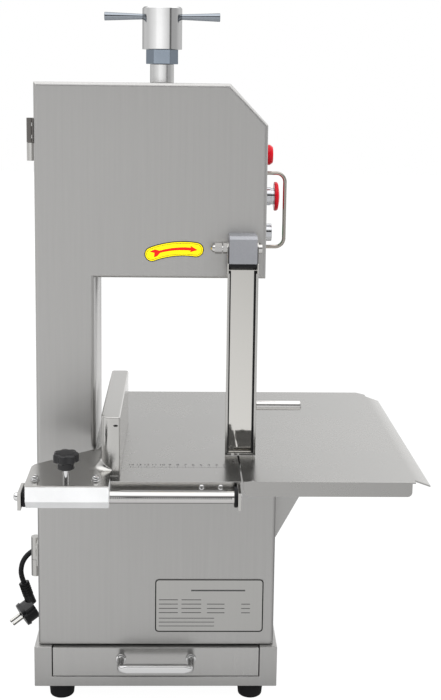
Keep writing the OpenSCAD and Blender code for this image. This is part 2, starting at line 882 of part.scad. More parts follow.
module drive_shaft() {
    color("silver") union() {
        rod_along_y(hub_y0 - 1, cabinet_d + shaft_reach, axis_x, drive_z, shaft_d);
        rod_along_y(hub_y0 - 5, hub_y0 - seat_gap, axis_x, drive_z, shaft_d + shaft_cap);
    }
}

module drive_housing() {
    color("dimgray") difference() {
        union() {
            rod_along_y(housing_y0, back_y, axis_x, drive_z, housing_d);
            rod_along_y(back_y - housing_flange_t, back_y, axis_x, drive_z, housing_flange_d);
        }
        rod_along_y(housing_y0 - eps, back_y + eps, axis_x, drive_z, shaft_d + 2 * run_gap);
    }
}

module motor() {
    color("slategray") difference() {
        union() {
            rod_along_y(cabinet_d, cabinet_d + motor_flange_t, axis_x, drive_z,
                motor_d + motor_flange_extra);
            rod_along_y(cabinet_d, cabinet_d + motor_l, axis_x, drive_z, motor_d);
            box(axis_x - terminal_w / 2, axis_x + terminal_w / 2, cabinet_d + terminal_step,
                cabinet_d + terminal_step + terminal_l, drive_z, drive_z + motor_d / 2 + terminal_h);
        }
        rod_along_y(cabinet_d - eps, cabinet_d + shaft_reach + 2, axis_x, drive_z, shaft_d + 2 * run_gap);
        for (i = [0:11])
            if (abs(i - 3) > 1)
                translate([axis_x, 0, drive_z]) rotate([0, -30 * i, 0])
                    box(motor_d / 2 - rib_depth, motor_d, cabinet_d + motor_flange_t + 8,
                        cabinet_d + motor_l - 10, -rib_w / 2, rib_w / 2);
    }
}

module motor_cover() {
    wide = motor_d / 2 + cover_side;
    top = drive_z + motor_d / 2 + cover_rise;
    rear = cover_rear;
    color("silver") difference() {
        box(axis_x - wide, axis_x + wide, cabinet_d, rear, base_bottom, top);
        box(axis_x - wide + sheet_t, axis_x + wide - sheet_t, cabinet_d - eps, rear - sheet_t,
            base_bottom - eps, top - sheet_t);
        for (i = [0:6])
            box(axis_x - wide - eps, axis_x + wide + eps, cabinet_d + 40, rear - 40,
                drive_z - 50 + vent_step * i, drive_z - 50 + vent_h + vent_step * i);
        rod_along_y(rear - sheet_t - eps, rear + eps, lead_points[0][0], lead_points[0][2],
            cord_d + 8 + fit_gap);
    }
}

module saw_band() {
    color("lightgray") along_y(band_y0, band_y1) difference() {
        band_outline(band_r + band_t);
        band_outline(band_r);
    }
}

module band_outline(r) {
    translate([axis_x - r, drive_z]) square([2 * r, upper_z - drive_z]);
    translate([axis_x, drive_z]) circle(r, $fn = 180);
    translate([axis_x, upper_z]) circle(r, $fn = 180);
}

// Guide block with a slit for the band, fixed to the wall that it stands on
module blade_guide(z0, z1) {
    difference() {
        box(blade_x - 12, blade_x + 12, band_y0 + 6, back_y, z0, z1);
        box(blade_x - band_t / 2 - 0.4, blade_x + band_t / 2 + 0.4, band_y0, band_y1 + 0.6,
            z0 - eps, z1 + eps);
        box(blade_x - 13, blade_x + 13, band_y1 + 14, back_y - 8, z0 - eps, z1 - 8);
    }
}

module upper_blade_guide() {
    color("gray") blade_guide(head_bottom + sheet_t, head_bottom + sheet_t + 18);
}

module lower_blade_guide() {
    color("gray") translate([0, 0, -sheet_t])
        blade_guide(shelf_top - 18, shelf_top);
}

module band_wipers() {
    color("white") for (z = [upper_z, drive_z])
        box(-half_w + sheet_t, axis_x - band_r - band_t - seat_gap, band_y0 + 2, band_y1 - 2,
            z - 6, z + 6);
}

// Tension gear

module guide_tube() {
    color("silver") difference() {
        union() {
            rod_up(head_top, tube_top, axis_x, screw_y, tube_d);
            rod_up(head_top - sheet_t - 8, head_top + eps, axis_x, screw_y, tube_d - 6);
        }
        rod_up(head_top - sheet_t - 9, tube_top + eps, axis_x, screw_y, screw_d + 2 * run_gap);
    }
}

module carriage_guides() {
    reach = carriage_h / 2 + tension_travel;
    color("gray") for (s = [-1, 1]) mirror_about_axis(s) along_z(upper_z - reach, upper_z + reach)
        union() {
            translate([carriage_w / 2 + slide_gap, carriage_y0 - guide_lip])
                square([guide_wall, back_y - carriage_y0 + guide_lip]);
            translate([carriage_w / 2 - guide_lip, carriage_y0 - guide_lip])
                square([guide_lip + guide_wall, guide_lip - slide_gap]);
            translate([carriage_w / 2 - guide_lip, carriage_y1 + slide_gap])
                square([guide_lip + guide_wall, guide_lip]);
        }
}

module mirror_about_axis(s) {
    translate([axis_x, 0, 0]) mirror([s < 0 ? 1 : 0, 0, 0]) children();
}

module wheel_carriage() {
    color("dimgray") difference() {
        box(axis_x - carriage_w / 2, axis_x + carriage_w / 2, carriage_y0, carriage_y1,
            upper_z - carriage_h / 2, upper_z + carriage_h / 2);
        rod_up(upper_z - carriage_h / 2 - eps, upper_z + carriage_h / 2 + eps, axis_x, screw_y,
            screw_d + 2 * run_gap);
    }
}

module tension_screw() {
    color("gainsboro") rod_up(upper_z - carriage_h / 2, hub_z, axis_x, screw_y, screw_d);
}

module handle_hub() {
    edge = 2;
    color("silver") difference() {
        translate([axis_x, screw_y, hub_z]) union() {
            cylinder(h = hub_h - edge, d = hub_d);
            translate([0, 0, hub_h - edge]) cylinder(h = edge, d1 = hub_d, d2 = hub_d - 2 * edge);
        }
        rod_x(axis_x - hub_d, axis_x + hub_d, screw_y, bar_z, bar_root_d + fit_gap);
    }
}

module handle_bars() {
    arm = (bar_l - hub_d) / 2;
    color("gainsboro") union() {
        rod_x(axis_x - hub_d / 2, axis_x + hub_d / 2, screw_y, bar_z, bar_root_d);
        for (s = [-1, 1])
            translate([axis_x + s * hub_d / 2, screw_y, bar_z]) rotate([0, s * 90, 0])
                cylinder(h = arm, d1 = bar_root_d, d2 = bar_end_d);
    }
}

module lock_nut() {
    color("gainsboro") difference() {
        translate([axis_x, screw_y, nut_z]) cylinder(h = nut_h, d = nut_w, $fn = 6);
        rod_up(nut_z - eps, nut_z + nut_h + eps, axis_x, screw_y, screw_d + 2 * run_gap);
    }
}

// Fence

module fence_slider() {
    bevel = 10;
    color("white") difference() {
        along_x(slider_x0, slider_x1) polygon([[slider_y0, slider_top],
            [slider_y0, slider_bottom + bevel], [slider_y0 + 7, slider_bottom],
            [slider_y1, slider_bottom], [slider_y1, slider_top]]);
        rod_x(slider_x0 - eps, slider_x1 + eps, rod_y, rod_z, rod_d + 2 * run_gap);
        rod_up(rod_z, slider_top + eps, knob_x, rod_y, stud_d + 2 * run_gap);
    }
}

module fence() {
    bottom = table_top + fence_gap;
    top = table_top + fence_h;
    rear = fence_l - fence_front;
    bend = 18;
    color("gainsboro") difference() {
        union() {
            box(fence_left, fence_right, -fence_front, rear, bottom, top);
            along_z(slider_top, plate_top) polygon([[slider_x0 - 1, slider_y0], [slider_x1, slider_y0],
                [slider_x1, -fence_front], [fence_left + fence_t, -fence_front],
                [fence_left + fence_t, plate_rear], [slider_x0 + 2, -84], [slider_x0 - 1, -92]]);
            translate([fence_left, 0, plate_top]) along_y(-fence_front, plate_rear - bend)
                mirror([1, 0]) hollow_corner(bend);
            translate([0, -fence_front, plate_top]) along_x(fence_left, slider_x1)
                mirror([1, 0]) hollow_corner(bend);
            translate([fence_left, -fence_front, plate_top]) rotate(180)
                rotate_extrude(angle = 90) hollow_corner(bend);
        }
        box(fence_left + fence_t, fence_right - fence_t, -fence_front + fence_t, rear + eps,
            bottom - eps, top - fence_t);
        rod_up(slider_top - eps, plate_top + eps, knob_x, rod_y, stud_d + 1);
        rod_along_y(-fence_front - eps, -fence_front + fence_t + eps, fence_right - 5, top - 11, 4);
    }
}

// Bend of a sheet that rises from its plate, seen from its end
module hollow_corner(r) {
    difference() {
        square(r);
        translate([r, r]) circle(r);
    }
}

module slider_screws() {
    color("gainsboro") for (x = [slider_x0 + 10, slider_x1 - 16.5])
        translate([x, rod_y, plate_top]) {
            cylinder(h = 1.2, d = 11);
            translate([0, 0, 1.2]) screw_head(screw_head_d, 5);
        }
}

module fence_knob() {
    lobes = 7;
    stud_top = plate_top + 15;
    neck_h = 9;
    lobe_d = 7;
    color("black") union() {
        rod_up(rod_z + rod_d / 2 + seat_gap, stud_top, knob_x, rod_y, stud_d);
        rod_up(stud_top, stud_top + neck_h, knob_x, rod_y, knob_neck_d);
        translate([knob_x, rod_y, stud_top + neck_h]) {
            cylinder(h = knob_h - 3, d = knob_d - 3);
            translate([0, 0, knob_h - 3]) cylinder(h = 3, d1 = knob_d - 3, d2 = knob_d - 14);
            for (i = [0:lobes - 1])
                rotate(360 * i / lobes) translate([(knob_d - lobe_d) / 2, 0, 0])
                    cylinder(h = knob_h - 4, d = lobe_d);
        }
    }
}

// Drawer

module drawer_tray() {
    fold_d = 16;
    inner = half_w + plinth_side - post_w;
    half = inner - drawer_gap;
    z0 = foot_h + rail_h + drawer_gap;
    z1 = base_bottom - drawer_gap;
    color("silver") union() {
        box(-half, half, -plinth_front, -plinth_front + sheet_t, z0, z1);
        box(-half, half, -plinth_front, -plinth_front + fold_d, z1 - sheet_t, z1);
        difference() {
            box(-half, half, -plinth_front, drawer_d, z0, z1 - 4);
            box(-half + sheet_t, half - sheet_t, -plinth_front + sheet_t, drawer_d - sheet_t,
                z0 + sheet_t, z1);
        }
    }
}

module drawer_handle() {
    z = foot_h + plinth_h * 0.708;
    y = -plinth_front - pull_reach;
    color("gainsboro") union() {
        for (s = [-1, 1]) {
            rod_along_y(y + 4, -plinth_front, s * pull_span / 2, z, pull_post_d);
            translate([s * pull_span / 2, y + 4, z]) sphere(d = pull_post_d);
        }
        rod_x(-pull_span / 2, pull_span / 2, y + 4, z, pull_post_d);
        translate([0, y + 4, z]) along_x(-pull_span / 2 + 6, pull_span / 2 - 6)
            round_rect(pull_post_d + 1, pull_grip_h, 3);
    }
}

// Controls on the right of the head

module signal_lamp() {
    color("red") union() {
        rod_x(head_right, head_right + lamp_reach - 4, controls_y, lamp_z, lamp_d);
        translate([head_right + lamp_reach - 4, controls_y, lamp_z]) rotate([0, 90, 0])
            cylinder(h = 4, d1 = lamp_d, d2 = lamp_d - 6);
        rod_x(head_right - 24, head_right + eps, controls_y, lamp_z, control_hole_d - 0.2);
    }
}

module stop_collar() {
    collar_d = control_hole_d + 3;
    color("silver") difference() {
        union() {
            rod_x(head_right, head_right + stop_reach - stop_stroke - stop_cap - 0.5, controls_y, stop_z,
                collar_d);
            rod_x(head_right - 30, head_right + eps, controls_y, stop_z, control_hole_d - 0.2);
        }
        rod_x(head_right - 8, head_right + stop_reach, controls_y, stop_z, 12);
    }
}

module stop_button() {
    edge = 4;
    x1 = head_right + stop_reach;
    color("red") union() {
        rod_x(x1 - stop_cap, x1 - edge, controls_y, stop_z, stop_d);
        translate([x1 - edge, controls_y, stop_z]) rotate([0, 90, 0])
            cylinder(h = edge, d1 = stop_d, d2 = stop_d - 12);
        rod_x(head_right - 2, x1 - stop_cap + eps, controls_y, stop_z, 12 - 2 * run_gap);
    }
}

module start_bezel() {
    color("gainsboro") difference() {
        union() {
            rod_x(head_right, head_right + bezel_reach, controls_y, start_z, bezel_d);
            rod_x(head_right - 30, head_right + eps, controls_y, start_z, control_hole_d - 0.2);
        }
        rod_x(head_right + bezel_reach - start_stroke - 5.5, head_right + bezel_reach + eps,
            controls_y, start_z, bezel_d - 7);
        rod_x(head_right - 6, head_right + bezel_reach, controls_y, start_z, 9);
    }
}

module start_button() {
    x1 = head_right + bezel_reach;
    color("green") union() {
        rod_x(x1 - 4.5, x1 - 0.5, controls_y, start_z, bezel_d - 7 - 2 * run_gap);
        rod_x(head_right - 2, x1 - 4, controls_y, start_z, 9 - 2 * run_gap);
    }
}

module button_loop() {
    r = 12;
    x1 = head_right + loop_reach - loop_d / 2;
    half = loop_h / 2 + loop_d / 2;
    color("gainsboro") union() {
        for (s = [-1, 1]) {
            z = loop_z + s * half;
            rod_x(head_right, x1 - r, controls_y, z, loop_d);
            translate([x1 - r, controls_y, z - s * r]) rotate([90, 0, 0]) rotate(s < 0 ? -90 : 0)
                rotate_extrude(angle = 90) translate([r, 0]) circle(d = loop_d, $fn = 24);
            rod_x(head_right, head_right + 2.5, controls_y, z, loop_d + 7);
        }
        rod_up(loop_z - half + r, loop_z + half - r, x1, controls_y, loop_d);
    }
}

// Mains cord

module cord_gland() {
    rear = cover_rear;
    start = lead_points[0];
    color("black") difference() {
        union() {
            rod_along_y(rear, rear + 5, start[0], start[2], cord_d + 16);
            translate([start[0], rear + 5, start[2]]) rotate([-90, 0, 0])
                cylinder(h = start[1] - rear - 5, d1 = cord_d + 11, d2 = cord_d + 4);
            rod_along_y(rear - sheet_t - 6, rear + eps, start[0], start[2], cord_d + 8);
        }
        rod_along_y(rear - sheet_t - 7, start[1] - 6, start[0], start[2], cord_d);
    }
}

module cord_lead() {
    color("black") swept_tube(lead_points, cord_d, cord_sides, [1, 0, 0]);
}

// Steady coil of the spare length: one unbroken tube, laid loop on loop
coil_points = [for (i = [0:coil_rings * coil_turns])
    let (a = 90 + 360 * i / coil_rings)
    [coil_x + coil_r * cos(a), coil_y + coil_r * sin(a), coil_z + coil_pitch * i / coil_rings]];
coil_gap = min([for (i = [0:len(coil_points) - 1], j = [i + coil_rings / 2:len(coil_points) - 1])
    norm(coil_points[i] - coil_points[j])]) - cord_d;
echo(least_gap_in_coil = coil_gap);

module cord_coil() {
    color("black") swept_tube(coil_points, cord_d, coil_sides, [0, 0, 1]);
}

module cord_tail() {
    color("black") swept_tube(tail_points, cord_d, cord_sides, [0, 0, 1]);
}

module plug_place() {
    translate(plug_tip) rotate([0, -plug_tilt, 0]) children();
}

// Middle of the plug's head, with the pins pointing along -X
module plug_head() {
    plug_place() translate([-6, 0, -46]) rotate([0, -head_tilt, 0]) rotate([0, 0, head_turn]) children();
}

module plug_body() {
    relief_l = 36;
    color("black") union() {
        plug_place() translate([0, 0, -relief_l])
            cylinder(h = relief_l, d1 = cord_d + 9, d2 = cord_d + 4);
        plug_head() rotate([0, 90, 0]) {
            translate([0, 0, -8]) cylinder(h = 16, d = plug_d - 6);
            translate([0, 0, -14]) cylinder(h = 6, d1 = plug_d - 4, d2 = plug_d - 2);
        }
    }
}

module plug_pins() {
    color("gainsboro") plug_head() for (s = [-1, 1])
        translate([-14, s * 9.5, 0]) rotate([0, -90, 0]) cylinder(h = 19, d = 4.8);
}

place() frame_shell();
place() plinth();
place() feet();
place() drawer_runners();
place() table();
place() table_gussets();
place() rail_brackets();
place() guide_rod();
place() rod_stop_rings();
place() rod_end_screws();
place() frame_hinges();
place() guide_tube();
place() carriage_guides();
place() motor();
place() motor_cover();
place() drive_housing();
place() saw_band();
place() upper_blade_guide();
place() lower_blade_guide();
place() band_wipers();
place() signal_lamp();
place() stop_collar();
place() start_bezel();
place() button_loop();
place() interlock_switch();
place() table_screws();
place() door_panel();
place() door_hinges();
place() interlock_key();
place() guard_block();
place() guard_pivot();
place() rating_plate();
place() arrow_label();
place() guard_channel();
place() guard_grip();
place() wheel_carriage();
place() upper_axle();
place() upper_wheel();
place() upper_bearings();
place() drive_wheel();
place() drive_shaft();
place() tension_screw();
place() handle_hub();
place() handle_bars();
place() lock_nut();
place() fence_slider();
place() fence();
place() slider_screws();
place() fence_knob();
place() drawer_tray();
place() drawer_handle();
place() stop_button();
place() start_button();
place() cord_gland();
place() cord_lead();
place() cord_coil();
place() cord_tail();
place() plug_body();
place() plug_pins();
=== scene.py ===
"""Looks of the table-top bone saw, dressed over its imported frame."""
import json
import logging
from dataclasses import dataclass
from enum import Enum
from math import copysign, cos, pi, radians, sin, tan
from typing import Any, Callable, Iterable, Sequence

import bmesh
import bpy
from mathutils import Matrix, Vector

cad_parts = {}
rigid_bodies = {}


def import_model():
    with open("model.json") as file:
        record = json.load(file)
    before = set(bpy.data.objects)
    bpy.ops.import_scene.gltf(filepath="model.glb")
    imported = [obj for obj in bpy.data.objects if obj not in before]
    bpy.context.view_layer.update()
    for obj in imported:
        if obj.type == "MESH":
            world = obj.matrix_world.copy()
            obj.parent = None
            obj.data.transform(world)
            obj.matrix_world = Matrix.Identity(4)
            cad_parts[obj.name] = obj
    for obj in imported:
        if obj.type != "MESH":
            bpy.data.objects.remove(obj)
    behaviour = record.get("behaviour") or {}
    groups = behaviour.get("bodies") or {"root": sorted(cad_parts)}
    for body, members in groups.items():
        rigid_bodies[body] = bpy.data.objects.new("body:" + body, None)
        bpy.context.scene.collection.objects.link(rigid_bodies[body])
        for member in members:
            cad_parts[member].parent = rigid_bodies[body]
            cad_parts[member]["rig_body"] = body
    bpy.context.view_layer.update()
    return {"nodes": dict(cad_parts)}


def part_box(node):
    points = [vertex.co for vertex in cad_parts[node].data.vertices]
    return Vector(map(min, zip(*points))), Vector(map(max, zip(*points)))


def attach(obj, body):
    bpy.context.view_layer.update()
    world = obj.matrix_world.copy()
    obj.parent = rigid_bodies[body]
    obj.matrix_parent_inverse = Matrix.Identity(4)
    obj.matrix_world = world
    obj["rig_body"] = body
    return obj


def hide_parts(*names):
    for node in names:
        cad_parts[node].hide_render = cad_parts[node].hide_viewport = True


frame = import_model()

LOG = logging.getLogger("bone_saw")
Point = tuple[float, float, float]
Pair = tuple[float, float]
Colour = tuple[float, float, float]
Mesh = bmesh.types.BMesh
Object = bpy.types.Object

# Edges flatter than this many degrees are smooth, and are left unrounded
SMOOTH = 32.0
# Half the width of a box that is wider than the saw, in millimetres
WIDE = 1000.0
WHITE_LIGHT = (1.0, 1.0, 1.0, 1.0)

# Working axes: X from the middle of the base, Y from the door's face to the rear, Z from the floor, in mm
PLINTH_LEFT = -166.5
TABLE_FRONT = -124.5
SHIFT_X = PLINTH_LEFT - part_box("plinth")[0].x * 1000
SHIFT_Y = TABLE_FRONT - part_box("table")[0].y * 1000
TO_FRAME = Matrix.Scale(0.001, 4) @ Matrix.Translation((-SHIFT_X, -SHIFT_Y, 0))
TO_WORK = TO_FRAME.inverted()


def at(x: float, y: float, z: float) -> Vector:
    """A working point in millimetres as a point of the frame in metres."""
    return TO_FRAME @ Vector((x, y, z))


def shift(x: float, y: float, z: float) -> Matrix:
    """A move by three working lengths."""
    return Matrix.Translation((x, y, z))


class Sock:
    """A shader socket whose operators add Math nodes to its tree."""

    def __init__(self, shader: "Shader", socket: bpy.types.NodeSocket) -> None:
        """Keep the tree and the socket."""
        self.shader = shader
        self.socket = socket

    def _math(self, operation: str, first: Any, second: Any) -> "Sock":
        """Add one Math node and return its result."""
        return self.shader.add("ShaderNodeMath", {"operation": operation}, {0: first, 1: second})

    def __add__(self, other: Any) -> "Sock":
        """Sum."""
        return self._math("ADD", self, other)

    def __sub__(self, other: Any) -> "Sock":
        """Difference."""
        return self._math("SUBTRACT", self, other)

    def __rsub__(self, other: Any) -> "Sock":
        """Difference with the number on the left."""
        return self._math("SUBTRACT", other, self)

    def __mul__(self, other: Any) -> "Sock":
        """Product."""
        return self._math("MULTIPLY", self, other)

    def most(self, other: Any) -> "Sock":
        """The larger of the two."""
        return self._math("MAXIMUM", self, other)

    def size(self) -> "Sock":
        """The value without its sign."""
        return self._math("ABSOLUTE", self, 0.0)


class Shader:
    """A node tree that grows by one method, with a few shorthands over it."""

    def __init__(self, tree: bpy.types.NodeTree) -> None:
        """Empty the tree and keep it."""
        self.tree = tree
        tree.nodes.clear()

    def add(self, kind: str, settings: dict | None = None, inputs: dict | None = None,
            out: int | str = 0) -> Sock:
        """Add a node.

        Args:
            kind: The node's type name.
            settings: Node properties, set first; "stops" fills a colour ramp.
            inputs: Values or links by socket name or index.
            out: The output that is returned.

        Returns:
            The wrapped output socket.
        """
        node = self.tree.nodes.new(kind)
        for key, value in (settings or {}).items():
            if key == "stops":
                self._fill_ramp(node.color_ramp, value)
            else:
                setattr(node, key, value)
        for key, value in (inputs or {}).items():
            if isinstance(value, Sock):
                self.tree.links.new(value.socket, node.inputs[key])
            else:
                node.inputs[key].default_value = value
        return Sock(self, node.outputs[out])

    @staticmethod
    def _fill_ramp(ramp: bpy.types.ColorRamp, stops: Sequence[Pair]) -> None:
        """Set a ramp to grey stops of place and level."""
        while len(ramp.elements) < len(stops):
            ramp.elements.new(0.5)
        for element, (place, level) in zip(ramp.elements, stops):
            element.position = place
            element.color = (level, level, level, 1.0)

    def place(self, scale: Point = (1.0, 1.0, 1.0)) -> Sock:
        """Object coordinates in metres, stretched."""
        raw = self.add("ShaderNodeTexCoord", out="Object")
        return self.add("ShaderNodeMapping", None, {"Vector": raw, "Scale": scale})

    def along(self, axis: str) -> Sock:
        """One object coordinate in metres."""
        return self.add("ShaderNodeSeparateXYZ", None, {0: self.place()}, out=axis)

    def noise(self, scale: Point, detail: float) -> Sock:
        """Noise from 0 to 1 over stretched object coordinates."""
        return self.add("ShaderNodeTexNoise", None,
                        {"Vector": self.place(scale), "Scale": 1.0, "Detail": detail})

    def even_noise(self, scale: float, detail: float) -> Sock:
        """Noise from 0 to 1 that is alike in every direction."""
        return self.noise((scale, scale, scale), detail)

    def ray(self, kind: str) -> Sock:
        """One for rays of a kind, else nought."""
        return self.add("ShaderNodeLightPath", out=f"Is {kind} Ray")

    def ramp(self, value: Sock, stops: Sequence[Pair]) -> Sock:
        """A grey ramp over a value."""
        return self.add("ShaderNodeValToRGB", {"stops": stops}, {"Fac": value})

    def blend(self, factor: Sock, low: Colour, high: Colour) -> Sock:
        """A colour between two by a factor."""
        return self.add("ShaderNodeMix", {"data_type": "RGBA"},
                        {0: factor, 6: (*low, 1.0), 7: (*high, 1.0)}, out=2)

    def bump(self, height: Sock, strength: float, distance: float) -> Sock:
        """A bumped normal."""
        return self.add("ShaderNodeBump", None,
                        {"Height": height, "Strength": strength, "Distance": distance})

    def surface(self, **inputs: Any) -> None:
        """Close the tree with one principled shader."""
        names = {key.replace("_", " "): value for key, value in inputs.items()}
        shader = self.add("ShaderNodeBsdfPrincipled", None, names)
        self.add_output("ShaderNodeOutputMaterial", shader)

    def add_output(self, kind: str, shader: Sock) -> None:
        """Link a shader to a new output node."""
        node = self.tree.nodes.new(kind)
        self.tree.links.new(shader.socket, node.inputs["Surface"])


class Grain(Enum):
    """Direction of the drawn lines, as the stretch of the noise."""

    ALONG_X = (10.0, 1.0, 1.0)
    ALONG_Y = (1.0, 10.0, 1.0)
    UPRIGHT = (1.0, 1.0, 10.0)
    EVEN = (3.0, 3.0, 3.0)


@dataclass(frozen=True)
class Finish:
    """A finish with its record slot."""

    name: str
    slot: str
    colour: Colour
    roughness: float

    # Shares of the colour between which the surface varies
    DARK, LIGHT = 1.0, 1.0

    def material(self) -> bpy.types.Material:
        """The finish's material, made once."""
        label = self.name + "_look"
        known = bpy.data.materials.get(label)
        if known is not None:
            return known
        made = bpy.data.materials.new(label)
        made.use_nodes = True
        self.build(Shader(made.node_tree))
        return made

    def shades(self, shader: Shader, level: Sock) -> Sock:
        """The colour between its darkest and its lightest shade by a level."""
        low, high = (tuple(part * share for part in self.colour) for share in (self.DARK, self.LIGHT))
        return shader.blend(level, low, high)

    def build(self, shader: Shader) -> None:
        """Fill the node tree."""
        raise NotImplementedError


@dataclass(frozen=True)
class Steel(Finish):
    """Stainless steel with drawn lines, soft clouds and faint rubbing marks."""

    grain: Grain = Grain.UPRIGHT
    lines: float = 0.10
    cloud: float = 0.10
    bump: float = 0.06
    edge: float = 1.0
    metal: float = 1.0

    DARK, LIGHT = 0.86, 1.14
    FINE_SCALE = 1800.0
    STREAK_SCALE = 260.0
    CLOUD_SCALE = 7.0
    LEAST_ROUGH = 0.04
    BUMP_DEPTH = 0.0004

    def build(self, shader: Shader) -> None:
        """Fill the node tree."""
        stretch = self.grain.value
        fine = shader.noise(tuple(self.FINE_SCALE / value ** 2 for value in stretch), 2.0)
        streak = shader.noise(tuple(self.STREAK_SCALE / value ** 1.6 for value in stretch), 4.0)
        clouds = shader.even_noise(self.CLOUD_SCALE, 4.0)
        mark = fine * 0.35 + streak * 0.65
        level = mark * self.lines * 2.0 + clouds * self.cloud * 2.0 + (0.5 - self.lines - self.cloud)
        rough = (mark - 0.5) * 0.16 + (clouds - 0.5) * 0.12 + self.roughness
        shader.surface(Base_Color=self.shades(shader, level), Metallic=self.metal,
                       Roughness=rough.most(self.LEAST_ROUGH),
                       Specular_Tint=(self.edge, self.edge, self.edge, 1.0),
                       Normal=shader.bump(mark, self.bump, self.BUMP_DEPTH))


@dataclass(frozen=True)
class Cast(Finish):
    """Cast or painted metal with a pebbled skin."""

    metallic: float = 0.6
    pebble: float = 0.25

    DARK, LIGHT = 0.78, 1.2
    SKIN_SCALE = 420.0
    STAIN_SCALE = 18.0
    BUMP_DEPTH = 0.0006

    def build(self, shader: Shader) -> None:
        """Fill the node tree."""
        skin = shader.even_noise(self.SKIN_SCALE, 4.0)
        stain = shader.even_noise(self.STAIN_SCALE, 5.0)
        shader.surface(Base_Color=self.shades(shader, skin * 0.4 + stain * 0.6),
                       Metallic=self.metallic, Roughness=(stain - 0.5) * 0.2 + self.roughness,
                       Normal=shader.bump(skin, self.pebble, self.BUMP_DEPTH))


@dataclass(frozen=True)
class Moulded(Finish):
    """Moulded plastic or rubber with a fine texture and a little dust, some with painted light as an
    emission of its own colour.
    """

    texture: float = 0.15
    gloss: float = 0.5
    glow: float = 0.0

    DARK, LIGHT = 0.88, 1.1
    SKIN_SCALE = 900.0
    DUST_SCALE = 30.0
    BUMP_DEPTH = 0.0003

    def build(self, shader: Shader) -> None:
        """Fill the node tree."""
        skin = shader.even_noise(self.SKIN_SCALE, 3.0)
        dust = shader.even_noise(self.DUST_SCALE, 5.0)
        inputs = {"Base_Color": self.shades(shader, dust * 0.7 + skin * 0.3),
                  "Roughness": (dust - 0.5) * 0.18 + self.roughness, "Specular_IOR_Level": self.gloss,
                  "Normal": shader.bump(skin, self.texture, self.BUMP_DEPTH)}
        # Painted light: an emission of the finish's own colour brightens it beyond the light that falls on
        # it
        if self.glow > 0:
            inputs["Emission_Color"] = (*self.colour, 1.0)
            inputs["Emission_Strength"] = self.glow
        shader.surface(**inputs)


# Slots of the record that several finishes share
BRUSHED = "stainless_brushed"
SATIN = "stainless_satin"
BRIGHT = "stainless_polished"

CABINET = Steel("steel_cabinet", BRUSHED, (0.50, 0.495, 0.486), 0.38, Grain.UPRIGHT, 0.30, 0.16, metal=0.92)
PLINTH = Steel("steel_plinth", BRUSHED, (0.50, 0.495, 0.486), 0.36, Grain.UPRIGHT, 0.20, 0.16, metal=0.92)
DRAWER = Steel("steel_drawer", BRUSHED, (0.51, 0.505, 0.495), 0.24, Grain.UPRIGHT, 0.24, 0.14, metal=0.92)
TABLE = Steel("steel_table", SATIN, (0.455, 0.45, 0.438), 0.26, Grain.EVEN, 0.04, 0.14, 0.0)
SHEET = Steel("steel_sheet", SATIN, (0.58, 0.572, 0.555), 0.20, Grain.EVEN, 0.05, 0.10, 0.01)
MIRROR = Steel("steel_mirror", BRIGHT, (0.76, 0.745, 0.71), 0.06, Grain.UPRIGHT, 0.04, 0.04, 0.004)
CHROME = Steel("steel_chrome", BRIGHT, (0.66, 0.65, 0.64), 0.12, Grain.ALONG_X, 0.05, 0.04, 0.008, 0.45)
POLISHED = Steel("steel_polished", BRIGHT, (0.80, 0.80, 0.80), 0.10, Grain.EVEN, 0.03, 0.04, 0.01, 0.40)
TURNED = Steel("steel_turned", BRIGHT, (0.78, 0.78, 0.775), 0.19, Grain.UPRIGHT, 0.05, 0.05, 0.01, 0.40)
NUT = Steel("steel_nut", BRIGHT, (0.28, 0.325, 0.38), 0.16, Grain.EVEN, 0.03, 0.04, 0.01, 0.5)
BAR = Steel("steel_bar", BRIGHT, (0.34, 0.37, 0.41), 0.12, Grain.ALONG_X, 0.05, 0.04, 0.01, 0.25)
BEZEL = Steel("steel_bezel", BRIGHT, (0.62, 0.63, 0.655), 0.20, Grain.EVEN, 0.03, 0.04, 0.01, 0.6)
LOOP = Steel("steel_loop", BRIGHT, (0.46, 0.43, 0.39), 0.16, Grain.EVEN, 0.05, 0.05, 0.01, 0.30)
SHAFT = Steel("steel_shaft", "steel_shaft", (0.52, 0.52, 0.53), 0.28, Grain.ALONG_Y)
BAND = Steel("steel_band", "band_steel", (0.60, 0.60, 0.60), 0.25, Grain.UPRIGHT)
HINGE = Steel("steel_hinge", "hinge_steel", (0.20, 0.19, 0.18), 0.42, Grain.EVEN)
PIN = Steel("pin_nickel", "pin_nickel", (0.62, 0.61, 0.58), 0.18, Grain.EVEN, edge=0.5)
PLATE = Steel("plate_silver", "plate_silver", (0.53, 0.525, 0.51), 0.36, Grain.UPRIGHT, 0.16, 0.12)
WHEEL = Cast("cast_wheel", "cast_wheel", (0.36, 0.37, 0.38), 0.48, 0.8, 0.2)
BLOCK = Cast("grey_block", "grey_block", (0.275, 0.28, 0.30), 0.36, 0.35, 0.05)
MOTOR = Cast("motor_paint", "motor_paint", (0.16, 0.18, 0.21), 0.45, 0.1, 0.3)
WHITE = Moulded("white_plastic", "white_plastic", (0.80, 0.805, 0.81), 0.42, 0.10)
BLACK = Moulded("black_plastic", "black_plastic", (0.006, 0.006, 0.007), 0.15, 0.03)
RUBBER = Moulded("black_rubber", "black_rubber", (0.010, 0.010, 0.011), 0.55, 0.20, 0.2)
CORD = Moulded("cord_black", "cord_black", (0.008, 0.008, 0.009), 0.38, 0.10, 0.3)
